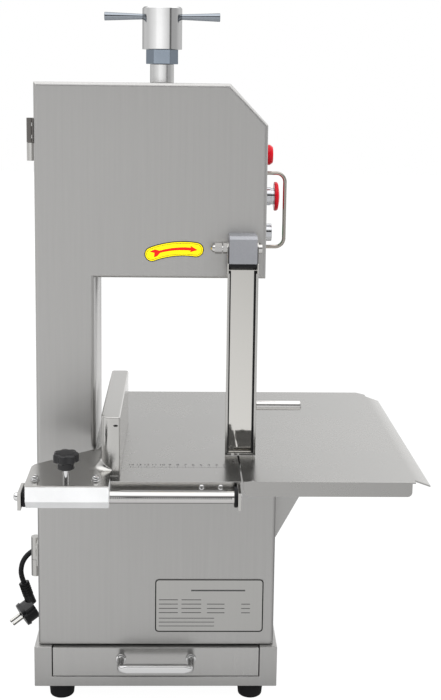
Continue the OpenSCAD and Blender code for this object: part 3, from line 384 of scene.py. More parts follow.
# Painted light: RED, YELLOW and RED_INK get an emission that brightens the signal lamp's lens, the stop
# button and the label
RED = Moulded("red_plastic", "red_plastic", (0.50, 0.003, 0.012), 0.20, 0.01, 0.2, 0.08)
GREEN = Moulded("green_plastic", "green_plastic", (0.02, 0.30, 0.07), 0.28, 0.05, 0.4)
YELLOW = Moulded("label_yellow", "label_yellow", (0.95, 0.78, 0.01), 0.50, 0.03, 0.1, 0.20)
INK = Moulded("label_ink", "label_yellow", (0.012, 0.012, 0.012), 0.45, 0.03, 0.2)
RED_INK = Moulded("label_red", "label_yellow", (0.90, 0.014, 0.008), 0.45, 0.03, 0.2, 0.25)
RULE = Moulded("plate_rules", "plate_silver", (0.10, 0.10, 0.10), 0.5, 0.03, 0.2)
ETCH = Moulded("ruler_etch", SATIN, (0.05, 0.05, 0.05), 0.55, 0.05, 0.2)


@dataclass(frozen=True)
class Fold:
    """Edges inside a working box that get a wider rounding, but not those wholly below a height."""

    low: Point
    high: Point
    width: float
    segments: int = 4
    floor: float = -1.0

    def holds(self, edge: bmesh.types.BMEdge) -> bool:
        """True if an edge lies in the box and reaches above the floor."""
        ends = [v.co for v in edge.verts]
        inside = all(a <= v <= b for end in ends for a, v, b in zip(self.low, end, self.high))
        return inside and any(end.z > self.floor for end in ends)


def curve(start: Vector, corner: Vector, end: Vector, steps: int) -> list[Vector]:
    """A curve between two points that bends towards a corner."""
    return [start * (1 - t) ** 2 + corner * (2 * t * (1 - t)) + end * t ** 2
            for t in (k / steps for k in range(steps + 1))]


def fillet(points: Sequence[Pair], radius: float, closed: bool = True, steps: int = 5) -> list[Vector]:
    """Round the corners of a flat outline.

    Args:
        points: The outline's corners.
        radius: Rounding, less where an edge is short.
        closed: True if the last corner joins the first.
        steps: Steps in each corner.

    Returns:
        The rounded outline.
    """
    most = 0.49
    made = []
    for i, corner in enumerate(points):
        here = Vector(corner)
        if not closed and i in (0, len(points) - 1):
            made.append(here)
            continue
        back = Vector(points[i - 1]) - here
        ahead = Vector(points[(i + 1) % len(points)]) - here
        reach = min(radius / tan(back.angle(ahead) / 2), most * back.length, most * ahead.length)
        made += curve(here + back.normalized() * reach, here, here + ahead.normalized() * reach, steps)
    return made


def beside(path: Sequence[Pair], i: int) -> Vector:
    """Unit vector to the right of a flat path at one of its points."""
    ahead = Vector(path[min(i + 1, len(path) - 1)]) - Vector(path[max(i - 1, 0)])
    return Vector((ahead.y, -ahead.x)).normalized()


def axis_along(direction: Point, x: float, y: float, z: float) -> Matrix:
    """A place at a working point whose Z axis points along a direction."""
    turn = Vector(direction).to_track_quat("Z", "Y").to_matrix().to_4x4()
    return shift(x, y, z) @ turn


class Workshop:
    """Turns meshes into pieces that ride on the frame."""

    # Points nearer than this many millimetres are one, and faces within this angle are one
    MERGE = 0.002
    FLAT = radians(0.4)

    @staticmethod
    def placed(name: str, data: bpy.types.ID) -> Object:
        """A new object of the scene."""
        obj = bpy.data.objects.new(name, data)
        bpy.context.scene.collection.objects.link(obj)
        return obj

    @staticmethod
    def linked(bm: Mesh, name: str) -> Object:
        """An object of the scene made from a mesh, which is freed."""
        mesh = bpy.data.meshes.new(name)
        bm.to_mesh(mesh)
        bm.free()
        return Workshop.placed(name, mesh)

    @staticmethod
    def piece(bm: Mesh, name: str, finish: Finish, body: str,
              replaced: Iterable[str] = (), smooth: float = SMOOTH) -> Object:
        """Make a piece from a mesh in working millimetres.

        Args:
            bm: The mesh, freed here.
            name: The piece's name.
            finish, body, replaced, smooth: As dress() takes them.

        Returns:
            The object.
        """
        bm.transform(TO_FRAME)
        return Workshop.dress(Workshop.linked(bm, name), finish, body, replaced, smooth)

    @staticmethod
    def dress(obj: Object, finish: Finish, body: str, replaced: Iterable[str] = (),
              smooth: float = SMOOTH) -> Object:
        """Shade an object, give it its finish and put it on its body.

        Args:
            obj: A mesh or curve object.
            finish: What it is made of.
            body: The body that it rides on.
            replaced: The nodes that it stands for.
            smooth: Edges flatter than this many degrees are smooth.

        Returns:
            The same object.
        """
        if obj.type == "MESH":
            obj.data.shade_smooth()
            obj.data.set_sharp_from_angle(angle=radians(smooth))
            flat = obj.modifiers.new("flat_faces", "WEIGHTED_NORMAL")
            flat.keep_sharp = True
            flat.weight = 90
        obj.data.materials.clear()
        obj.data.materials.append(finish.material())
        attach(obj, body)
        if replaced:
            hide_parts(*replaced)
        LOG.info("%s rides on %s", obj.name, body)
        return obj

    @staticmethod
    def body_of(node: str) -> str:
        """The body that a node belongs to."""
        return frame["nodes"][node]["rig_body"]

    @staticmethod
    def copy_of(node: str) -> Mesh:
        """A node's mesh in working millimetres, merged and with its flat faces joined."""
        bm = bmesh.new()
        bm.from_mesh(frame["nodes"][node].data)
        bm.transform(TO_WORK)
        bmesh.ops.remove_doubles(bm, verts=bm.verts, dist=Workshop.MERGE)
        bmesh.ops.dissolve_limit(bm, angle_limit=Workshop.FLAT, verts=bm.verts, edges=bm.edges)
        return bm

    @staticmethod
    def round_edges(bm: Mesh, width: float, segments: int = 2, angle: float = SMOOTH,
                    wanted: Callable[[bmesh.types.BMEdge], bool] | None = None) -> None:
        """Bevel the edges sharper than an angle."""
        edges = [e for e in bm.edges if len(e.link_faces) == 2
                 and abs(e.calc_face_angle(0.0)) > radians(angle) and (wanted is None or wanted(e))]
        if edges:
            bmesh.ops.bevel(bm, geom=edges, offset=width, offset_type="OFFSET", segments=segments,
                            profile=0.5, affect="EDGES", clamp_overlap=True)

    @classmethod
    def softened(cls, node: str, finish: Finish, width: float = 0.5, segments: int = 2,
                 angle: float = SMOOTH, folds: Sequence[Fold] = ()) -> Object:
        """A node's shape with rounded edges, standing for that node.

        Args:
            node: The node.
            finish: What it is made of.
            width: Rounding of the ordinary edges in millimetres.
            segments: Steps in that rounding.
            angle: Edges flatter than this are left.
            folds: Boxes whose edges get a wider rounding first.

        Returns:
            The object.
        """
        bm = cls.copy_of(node)
        for fold in folds:
            cls.round_edges(bm, fold.width, fold.segments, angle, fold.holds)
        cls.round_edges(bm, width, segments, angle)
        return cls.piece(bm, node + "_shown", finish, cls.body_of(node), [node])

    @staticmethod
    def skin(bm: Mesh, rings: Sequence[Sequence[bmesh.types.BMVert]],
             capped: bool = False) -> Mesh:
        """Lay faces between neighbouring rings, where a ring of one point is a pole.

        Args:
            bm: The mesh that holds the rings.
            rings: The rings in order.
            capped: True if the first and the last ring are closed by a face.

        Returns:
            The same mesh with its faces turned outwards.
        """
        for low, high in zip(rings, rings[1:]):
            for k in range(max(len(low), len(high))):
                j = k + 1
                corners = list(dict.fromkeys((low[k % len(low)], low[j % len(low)], high[j % len(high)],
                                              high[k % len(high)])))
                if len(corners) >= 3:
                    bm.faces.new(corners)
        if capped:
            bm.faces.new(rings[0])
            bm.faces.new(rings[-1])
        bmesh.ops.recalc_face_normals(bm, faces=bm.faces)
        return bm

    @staticmethod
    def lathe(profile: Sequence[Pair], place: Matrix, steps: int = 48,
              wave: Callable[[float, float], float] | None = None) -> Mesh:
        """Turn a profile about an axis.

        Args:
            profile: Radius and height from one pole to the other.
            place: Where the axis stands.
            steps: Steps round the axis.
            wave: Radius from the profile's radius and the angle, for lobed shapes.

        Returns:
            The closed mesh.
        """
        bm = bmesh.new()
        rings = []
        for radius, height in profile:
            if radius < 1e-4:
                rings.append([bm.verts.new((0, 0, height))])
                continue
            ring = []
            for k in range(steps):
                a = 2 * pi * k / steps
                r = wave(radius, a) if wave else radius
                ring.append(bm.verts.new((r * cos(a), r * sin(a), height)))
            rings.append(ring)
        Workshop.skin(bm, rings)
        bm.transform(place)
        return bm

    @staticmethod
    def slab(outline: Sequence[Pair], y0: float, y1: float) -> Mesh:
        """An upright slab whose outline is given in X and Z."""
        bm = bmesh.new()
        face = bm.faces.new([bm.verts.new((x, y0, z)) for x, z in outline])
        grown = bmesh.ops.extrude_face_region(bm, geom=[face])
        moved = [v for v in grown["geom"] if isinstance(v, bmesh.types.BMVert)]
        bmesh.ops.translate(bm, verts=moved, vec=(0, y1 - y0, 0))
        bmesh.ops.recalc_face_normals(bm, faces=bm.faces)
        return bm

    @staticmethod
    def rim(outer: Sequence[Pair], inner: Sequence[Pair], y0: float, y1: float) -> Mesh:
        """An upright frame between two outlines of the same count in X and Z."""
        bm = bmesh.new()
        loops = [[bm.verts.new((x, y, z)) for x, z in line] for line, y in
                 ((outer, y0), (inner, y0), (inner, y1), (outer, y1))]
        return Workshop.skin(bm, loops + loops[:1])

    @staticmethod
    def block(low: Point, high: Point) -> Mesh:
        """A box between two corners."""
        bm = bmesh.new()
        bmesh.ops.create_cube(bm, size=1.0)
        for v in bm.verts:
            v.co = Vector([low[i] if v.co[i] < 0 else high[i] for i in range(3)])
        return bm

    @staticmethod
    def soften(*rows: tuple) -> None:
        """Round several nodes, each given as node, finish and the numbers that softened() takes."""
        for row in rows:
            Workshop.softened(*row)

    @staticmethod
    def joined(parts: Iterable[Mesh]) -> Mesh:
        """Several meshes as one."""
        bm = bmesh.new()
        for part in parts:
            mesh = bpy.data.meshes.new("part")
            part.to_mesh(mesh)
            part.free()
            bm.from_mesh(mesh)
            bpy.data.meshes.remove(mesh)
        return bm


class Repeater:
    """Lays copies of a shape in a row through one Geometry Nodes tree."""

    NAME = "row_of_copies"

    @classmethod
    def tree(cls) -> bpy.types.NodeTree:
        """The tree, made once."""
        known = bpy.data.node_groups.get(cls.NAME)
        if known is not None:
            return known
        tree = bpy.data.node_groups.new(cls.NAME, "GeometryNodeTree")
        for name, kind in (("Geometry", "Geometry"), ("Count", "Int"), ("Step", "Vector"),
                           ("Finish", "Material")):
            tree.interface.new_socket(name, in_out="INPUT", socket_type="NodeSocket" + kind)
        tree.interface.new_socket("Geometry", in_out="OUTPUT", socket_type="NodeSocketGeometry")
        nodes = {name: tree.nodes.new(kind) for name, kind in (
            ("source", "NodeGroupInput"), ("line", "GeometryNodeMeshLine"),
            ("copies", "GeometryNodeInstanceOnPoints"), ("solid", "GeometryNodeRealizeInstances"),
            ("painted", "GeometryNodeSetMaterial"), ("output", "NodeGroupOutput"))}
        nodes["line"].mode = "OFFSET"
        for start, out, end, into in (
                ("source", "Count", "line", "Count"), ("source", "Step", "line", "Offset"),
                ("line", 0, "copies", "Points"), ("source", "Geometry", "copies", "Instance"),
                ("copies", 0, "solid", 0), ("solid", 0, "painted", "Geometry"),
                ("source", "Finish", "painted", "Material"), ("painted", 0, "output", 0)):
            tree.links.new(nodes[start].outputs[out], nodes[end].inputs[into])
        return tree

    @classmethod
    def row(cls, bm: Mesh, name: str, finish: Finish, body: str, count: int,
            step: Point, place: Matrix, replaced: Iterable[str] = ()) -> Object:
        """Repeat a shape and make the row one piece.

        Args:
            bm: The shape about its own origin in millimetres, freed here.
            name: The piece's name.
            finish, body, replaced: As Workshop.dress() takes them.
            count: How many copies.
            step: Move from copy to copy in millimetres.
            place: Where the first copy's origin lies, in working millimetres.

        Returns:
            The object.
        """
        obj = Workshop.linked(bm, name)
        modifier = obj.modifiers.new("copies", "NODES")
        tree = cls.tree()
        modifier.node_group = tree
        values = {"Count": count, "Step": step, "Finish": finish.material()}
        for socket in tree.interface.items_tree:
            if socket.in_out == "INPUT" and socket.name in values:
                modifier[socket.identifier] = values[socket.name]
        graph = bpy.context.evaluated_depsgraph_get()
        baked = bpy.data.meshes.new_from_object(obj.evaluated_get(graph), depsgraph=graph)
        obj.modifiers.clear()
        obj.data = baked
        baked.transform(TO_FRAME @ place)
        return Workshop.dress(obj, finish, body, replaced)


def button_head(width: float, height: float, washer: float = 0.0) -> Mesh:
    """A dome-headed screw about its seat, with a socket in the dome and a washer under it.

    Args:
        width: Diameter of the head.
        height: Height of the head.
        washer: Diameter of the washer, or nought for none.

    Returns:
        The mesh, with its axis along Z.
    """
    r = width / 2
    seat = 1.2 if washer else 0.0
    profile = [(0.0, -1.0), (r * 0.7, -1.0)]
    if washer:
        profile += [(washer / 2 - 0.3, -0.2), (washer / 2, 0.1), (washer / 2, seat - 0.3),
                    (washer / 2 - 0.3, seat)]
    profile += [(r, seat), (r, seat + height * 0.3), (r * 0.93, seat + height * 0.62),
                (r * 0.74, seat + height * 0.9), (r * 0.5, seat + height), (r * 0.42, seat + height * 0.95),
                (r * 0.40, seat + height * 0.4), (0.0, seat + height * 0.4)]
    return Workshop.lathe(profile, Matrix.Identity(4), 24)


@dataclass
class MainsLead:
    """The cord with its gland, tie and plug."""

    width: float = 8.0
    cover_rear: float = 276.0
    lead: tuple[Point, ...] = (
        (60, 24, 150), (60, 36, 149), (60, 56, 142), (60, 74, 126), (60, 86, 106), (59, 94, 84),
        (57, 102, 62), (53, 109, 41), (45, 115, 23), (32, 118, 11), (14, 119, 5.5), (-6, 119, 4.2),
        (-26, 119, 4.2))
    coil_mid: Pair = (-40.0, 74.0)
    coil_radius: float = 45.0
    coil_pitch: float = 8.6
    coil_turns: int = 4
    coil_knots: int = 24
    coil_low: float = 4.2
    tail: tuple[Point, ...] = (
        (-54, 119, 38.6), (-76, 117, 37), (-98, 111, 34), (-117, 100, 32), (-131, 84, 36), (-139, 65, 46),
        (-143, 45, 60), (-145, 25, 76), (-146, 5, 92), (-149, -14, 106), (-155, -31, 117), (-167, -45, 124),
        (-182, -54, 126.5), (-195, -60, 124), (-205.5, -63, 117), (-212.5, -65, 106.4), (-215, -66, 94),
        (-214, -66, 84), (-211, -66, 74))
    plug_tilt: float = 18.0
    tie_turn: float = -150.0

    SMOOTH_STEPS = 3

    def route(self) -> list[Vector]:
        """The cord's middle line in working millimetres, smoothed through its points."""
        knots = [Vector(p) for p in self.lead]
        for i in range(self.coil_knots * self.coil_turns + 1):
            a = radians(90 + 360 / self.coil_knots * i)
            knots.append(Vector((self.coil_mid[0] + self.coil_radius * cos(a),
                                 self.coil_mid[1] + self.coil_radius * sin(a),
                                 self.coil_low + self.coil_pitch * i / self.coil_knots)))
        knots += [Vector(p) for p in self.tail]
        line = []
        for i in range(len(knots) - 1):
            a, b, c, d = (knots[min(max(i + k, 0), len(knots) - 1)] for k in (-1, 0, 1, 2))
            for k in range(self.SMOOTH_STEPS):
                t = k / self.SMOOTH_STEPS
                line.append((b * 2 + (c - a) * t + (a * 2 - b * 5 + c * 4 - d) * t ** 2
                             + (b * 3 - a - c * 3 + d) * t ** 3) / 2)
        line.append(knots[-1])
        return [p + Vector((0, self.cover_rear, 0)) for p in line]

    def cord(self) -> tuple[Object, float]:
        """The cord as one curve.

        Returns:
            The object, and its length in metres.
        """
        points = [TO_FRAME @ p for p in self.route()]
        data = bpy.data.curves.new("mains_cord", "CURVE")
        data.dimensions = "3D"
        data.bevel_depth = self.width / 2000
        data.bevel_resolution = 5
        data.use_fill_caps = True
        spline = data.splines.new("POLY")
        spline.points.add(len(points) - 1)
        for knot, p in zip(spline.points, points):
            knot.co = (*p, 1.0)
        obj = Workshop.placed("mains_cord", data)
        spline.use_smooth = True
        Workshop.dress(obj, CORD, "frame", ["cord_lead", "cord_coil", "cord_tail"])
        return obj, sum((b - a).length for a, b in zip(points, points[1:]))

    def tie(self) -> Object:
        """A strap round the coil's turns on the side near the saw."""
        mid = Vector((self.coil_mid[0], self.coil_mid[1] + self.cover_rear + self.coil_radius, 0))
        low = self.coil_low - self.width / 2
        high = self.coil_low + self.coil_pitch * self.coil_turns + self.width / 2
        outline = fillet([(-5.6, low), (5.6, low), (5.6, high + 1.0), (-5.6, high + 1.0)], 4.0)
        inner = fillet([(-4.5, low + 0.1), (4.5, low + 0.1), (4.5, high), (-4.5, high)], 3.5)
        bm = Workshop.rim(outline, inner, -4.0, 4.0)
        bm.transform(Matrix.Translation(mid) @ Matrix.Rotation(pi / 2, 4, "Z"))
        about = shift(self.coil_mid[0], self.coil_mid[1] + self.cover_rear, 0)
        bm.transform(about @ Matrix.Rotation(radians(self.tie_turn), 4, "Z") @ about.inverted())
        return Workshop.piece(bm, "coil_tie", RUBBER, "frame")

    def plug_place(self) -> Matrix:
        """Where the cord enters the plug, with the plug's length along Z."""
        x, y, z = self.tail[-1]
        return shift(x, y + self.cover_rear, z) @ Matrix.Rotation(radians(-self.plug_tilt), 4, "Y")

    def build(self) -> None:
        """Make the cord and all that is on it."""
        cord, length = self.cord()
        gland = Workshop.softened("cord_gland", RUBBER, 0.8)
        plug = Workshop.softened("plug_body", BLACK, 1.6, 3)
        pins = Workshop.softened("plug_pins", PIN, 1.2, 3)
        rib = Workshop.lathe([(5.4, 0.0), (8.2, 0.3), (8.2, 2.0), (5.4, 2.3)], Matrix.Identity(4), 24)
        relief = Repeater.row(rib, "plug_relief_ribs", RUBBER, "frame", 6, (0.0, 0.0, -3.8),
                              place=self.plug_place() @ shift(0.0, 0.0, -2.5))
        tie = self.tie()
        start = self.route()[0]
        TO_FRAME @ start


@dataclass
class Cabinet:
    """The C-shaped body, its door, hinges, plates and the parts fixed inside."""

    front_round: float = 5.4
    rear_y: float = 140.0
    label_mid: Pair = (32.9, 518.7)
    label_radius: float = 115.0
    label_half: float = 9.9
    label_spread: float = 14.7
    label_tilt: float = 6.2
    plate_mid: Pair = (72.5, 139.0)
    plate_size: Pair = (149.0, 77.0)

    BETWEEN_HINGES = 500.0
    HINGE_FACE = -163.5

    def shells(self) -> None:
        """Body and door pan with rounded sheet edges."""
        Workshop.softened("frame_shell", CABINET, 0.6, 2, folds=[
            Fold((-WIDE, self.rear_y - 0.1, 0.0), (WIDE, self.rear_y + 0.1, WIDE), 3.0)])
        Workshop.softened("door_panel", CABINET, 0.5, 2, folds=[
            Fold((-WIDE, -0.1, 0.0), (WIDE, 0.1, WIDE), self.front_round, 4, 90.0)])

    def hinges(self) -> None:
        """Hinge halves with their screws: the upper door half is dark, the others are bright."""
        Workshop.softened("frame_hinges", SHEET, 0.6)
        for name, finish, low in (("upper_door_hinge", HINGE, True), ("lower_door_hinge", SHEET, False)):
            bm = Workshop.copy_of("door_hinges")
            away = [v for v in bm.verts if (v.co.z < self.BETWEEN_HINGES) == low]
            bmesh.ops.delete(bm, geom=away, context="VERTS")
            Workshop.round_edges(bm, 0.8)
            Workshop.piece(bm, name, finish, "door", ["door_hinges"])
        turn = Matrix.Rotation(-pi / 2, 4, "Y")
        for level, heights in (("upper", (751.0, 777.0)), ("lower", (176.0, 202.0))):
            for body, y, step, z in zip(("frame", "door"), (48.0, 11.0), (12.0, 16.0), heights):
                Repeater.row(button_head(6.0, 1.6), f"{level}_{body}_screws", POLISHED, body, 2,
                             (step, 0.0, 0.0), shift(self.HINGE_FACE, y, z) @ turn)

    def _bow(self, inset: float, steps: int = 24) -> list[Pair]:
        """Outline of the curved label, moved in."""
        half = self.label_half - inset
        spread = radians(self.label_spread)
        tilt = radians(self.label_tilt)

        def spot(radius: float, angle: float) -> Pair:
            """A point by radius and angle from the top, tilted."""
            return (self.label_mid[0] + radius * sin(angle - tilt),
                    self.label_mid[1] + radius * cos(angle - tilt))

        line = []
        for way in (1, -1):
            for k in range(steps + 1):
                line.append(spot(self.label_radius + way * half, way * (2 * spread * k / steps - spread)))
            end = Vector(spot(self.label_radius, way * spread))
            for k in range(1, 8):
                a = way * pi / 2 - (way * spread - tilt) - pi * k / 8
                line.append((end.x + half * cos(a), end.y + half * sin(a)))
        return line

    def _arrow(self) -> list[Pair]:
        """Outline of a plain arrow bent along the label, from its barbed tail to its tip."""
        tilt = radians(self.label_tilt)
        upper = [(-15.6, 4.3), (-11.8, 4.8), (-9.4, 1.5)]
        upper += [(-9.4 + 2.0 * k, 1.5 + 0.05 * k) for k in range(1, 10)] + [(11.2, 1.9), (10.6, 4.3)]
        tail = [(-14.2, -4.6)]
        notch = [(-12.9, 0.4)]
        lower = [(a, -r) for a, r in reversed(upper[1:])]
        bent = []
        for angle, off in notch + upper + [(15.4, 0.0)] + lower + tail:
            a = radians(angle) - tilt
            r = self.label_radius + off
            bent.append((self.label_mid[0] + r * sin(a), self.label_mid[1] + r * cos(a)))
        return bent

    def label(self) -> None:
        """The yellow direction label with a black edge and a red arrow."""
        edge, field = Workshop.slab(self._bow(0.0), -0.45, 0.0), Workshop.slab(self._bow(1.1), -0.52, -0.40)
        line = Workshop.rim(self._bow(2.5), self._bow(3.0), -0.56, -0.50)
        arrow = Workshop.slab(self._arrow(), -0.60, -0.50)
        for name, bm, finish, replaced in (
                ("edge", edge, INK, ["arrow_label"]), ("field", field, YELLOW, []),
                ("line", line, INK, []), ("arrow", arrow, RED_INK, [])):
            Workshop.piece(bm, "arrow_label_" + name, finish, "door", replaced)

    def plate(self) -> None:
        """The bare rating plate with its printed border and plain ruled lines."""
        half_w, half_h = self.plate_size[0] / 2, self.plate_size[1] / 2
        sheet = Workshop.slab(self._box_line(half_w, half_h, 6.0), -0.5, 0.0)
        Workshop.piece(sheet, "rating_plate_shown", PLATE, "door", ["rating_plate"])
        border = Workshop.rim(self._box_line(half_w - 0.3, half_h - 0.3, 5.6),
                              self._box_line(half_w - 1.9, half_h - 1.9, 4.2), -0.56, -0.45)
        Workshop.piece(border, "rating_plate_border", INK, "door")
        rules = (("title", 47.5, 161.0, 74.0, 1.1, 1, 0.0), ("names", 3.5, 147.5, 26.0, 0.55, 4, -6.2),
                 ("values", 34.5, 147.5, 27.0, 0.55, 4, -6.2),
                 ("names_right", 69.5, 141.3, 24.0, 0.55, 3, -6.3),
                 ("values_right", 116.5, 141.3, 12.0, 0.55, 3, -6.3),
                 ("notes", 3.5, 120.8, 76.0, 0.5, 3, -5.7))
        for name, x, z, length, half, count, step in rules:
            bar = Workshop.block((0.0, 0.0, -half), (length, 0.08, half))
            Repeater.row(bar, "rating_plate_rules_" + name, RULE, "door", count, (0.0, 0.0, step),
                         place=shift(x, -0.56, z))

    def _box_line(self, half_w: float, half_h: float, radius: float) -> list[Vector]:
        """A rounded rectangle about the plate's middle."""
        x, z = self.plate_mid
        return fillet([(x - half_w, z - half_h), (x + half_w, z - half_h), (x + half_w, z + half_h),
                       (x - half_w, z + half_h)], radius)

    def build(self) -> None:
        """Make the cabinet, and the switch and key behind its door."""
        self.shells()
        self.hinges()
        self.label()
        self.plate()
        Workshop.soften(("interlock_switch", BLACK, 1.5), ("interlock_key", BLOCK, 0.8))


@dataclass
class Base:
    """Plinth, feet and dust drawer."""

    front: float = -7.0
    handle_z: float = 65.2
    handle_y: float = -34.0
    span: float = 96.0
    tall: float = 5.75
    deep: float = 4.4
    rod: float = 4.2
    turn: float = 9.0

    def handle(self) -> None:
        """Bow handle with round feet and a broad flattened grip."""
        parts = []
        for side in (-1, 1):
            place = axis_along((0, -1, 0), side * self.span / 2, self.front, self.handle_z)
            profile = fillet([(0.0, -1.0), (7.0, -1.0), (7.0, 2.0), (4.6, 3.2), (self.rod, 12.0),
                              (self.rod, 22.0)], 1.0, False)
            parts.append(Workshop.lathe(profile + [Vector((0.0, 22.0))], place, 28))
        Workshop.piece(Workshop.joined(parts), "drawer_handle_posts", POLISHED, "drawer", ["drawer_handle"])
        end = self.span / 2
        path = fillet([(-end, -14.0), (-end, 0.0), (-end + self.turn, 0.0), (end - self.turn, 0.0),
                       (end, 0.0), (end, -14.0)], self.turn, False, 6)
        bm = bmesh.new()
        rings = []
        for i, spot in enumerate(path):
            out = -beside(path, i)
            flat = min(1.0, max(0.0, (end + 1.0 - abs(spot[0])) / self.turn))
            tall = self.rod + (self.tall - self.rod) * flat
            deep = self.rod + (self.deep - self.rod) * flat
            rings.append([bm.verts.new((spot[0] + out.x * a * deep,
                                        self.handle_y - spot[1] - out.y * a * deep,
                                        self.handle_z + b * tall)) for a, b in self._section(flat)])
        Workshop.piece(Workshop.skin(bm, rings, True), "drawer_handle_grip", POLISHED, "drawer",
                       ["drawer_handle"], 40.0)

    @staticmethod
    def _section(flat: float, steps: int = 24) -> list[Pair]:
        """Outline of the bow's rod, from round to a rounded square."""
        power = 1.0 - 0.55 * flat
        turns = (2 * pi * (k + 0.5) / steps for k in range(steps))
        return [tuple(copysign(abs(part) ** power, part) for part in (cos(a), sin(a)))
                for a in turns]

    def build(self) -> None:
        """Make the base."""
        Workshop.soften(("plinth", PLINTH, 1.2, 3), ("feet", RUBBER, 1.6, 3),
                        ("drawer_runners", PLINTH, 0.5), ("drawer_tray", DRAWER, 0.5))
        self.handle()


@dataclass
class WorkTable:
    """The table with its ruler, gussets and screws."""

    top: float = 362.0
    front: float = TABLE_FRONT
    zero: float = 107.7
    tick_y: float = -74.0
    digit_y: float = -66.0
    screw_z: float = 355.0

    # The ruler's first and last centimetre
    FIRST = 2
    LAST = 14

    def ruler(self) -> None:
        """Etched ticks at every second millimetre and at every centimetre, with plain numbers."""
        low, high = self.top - 0.05, self.top + 0.03
        for name, count, step, length, thick in (("ruler_ticks", 61, -2.0, 2.6, 0.24),
                                                 ("ruler_marks", 13, -10.0, 4.6, 0.32)):
            tick = Workshop.block((-thick, 0.0, low), (thick, length, high))
            Repeater.row(tick, name, ETCH, "frame", count, (step, 0.0, 0.0),
                         place=shift(self.zero - 10 * self.FIRST, self.tick_y, 0.0))
        parts = []
        for number in range(self.FIRST, self.LAST + 1):
            data = bpy.data.curves.new("digit", "FONT")
            data.body = str(number)
            data.size = 8.0
            data.align_x = "CENTER"
            text = bpy.data.objects.new("digit", data)
            mesh = bpy.data.meshes.new_from_object(text)
            bm = bmesh.new()
            bm.from_mesh(mesh)
            bm.transform(shift(self.zero - 10 * number, self.digit_y, high))
            parts.append(bm)
            bpy.data.objects.remove(text)
            bpy.data.curves.remove(data)
            bpy.data.meshes.remove(mesh)
        Workshop.piece(Workshop.joined(parts), "ruler_numbers", ETCH, "frame")

    def build(self) -> None:
        """Make the table."""
        Workshop.softened("table", TABLE, 0.5, 2, folds=[
            Fold((-WIDE, self.front - 0.1, self.top - 0.1), (WIDE, self.front + 0.1, self.top + 0.1), 4.0)])
        self.ruler()
        Workshop.softened("table_gussets", PLINTH, 0.5)
        turn = Matrix.Rotation(pi / 2, 4, "X")
        for name, x, count in (("table_screws_front", 57.5, 2), ("table_screws_arm", -88.0, 1)):
            Repeater.row(button_head(7.0, 2.0), name, POLISHED, "frame", count, (23.5, 0.0, 0.0),
                         place=shift(x, self.front, self.screw_z) @ turn, replaced=["table_screws"])


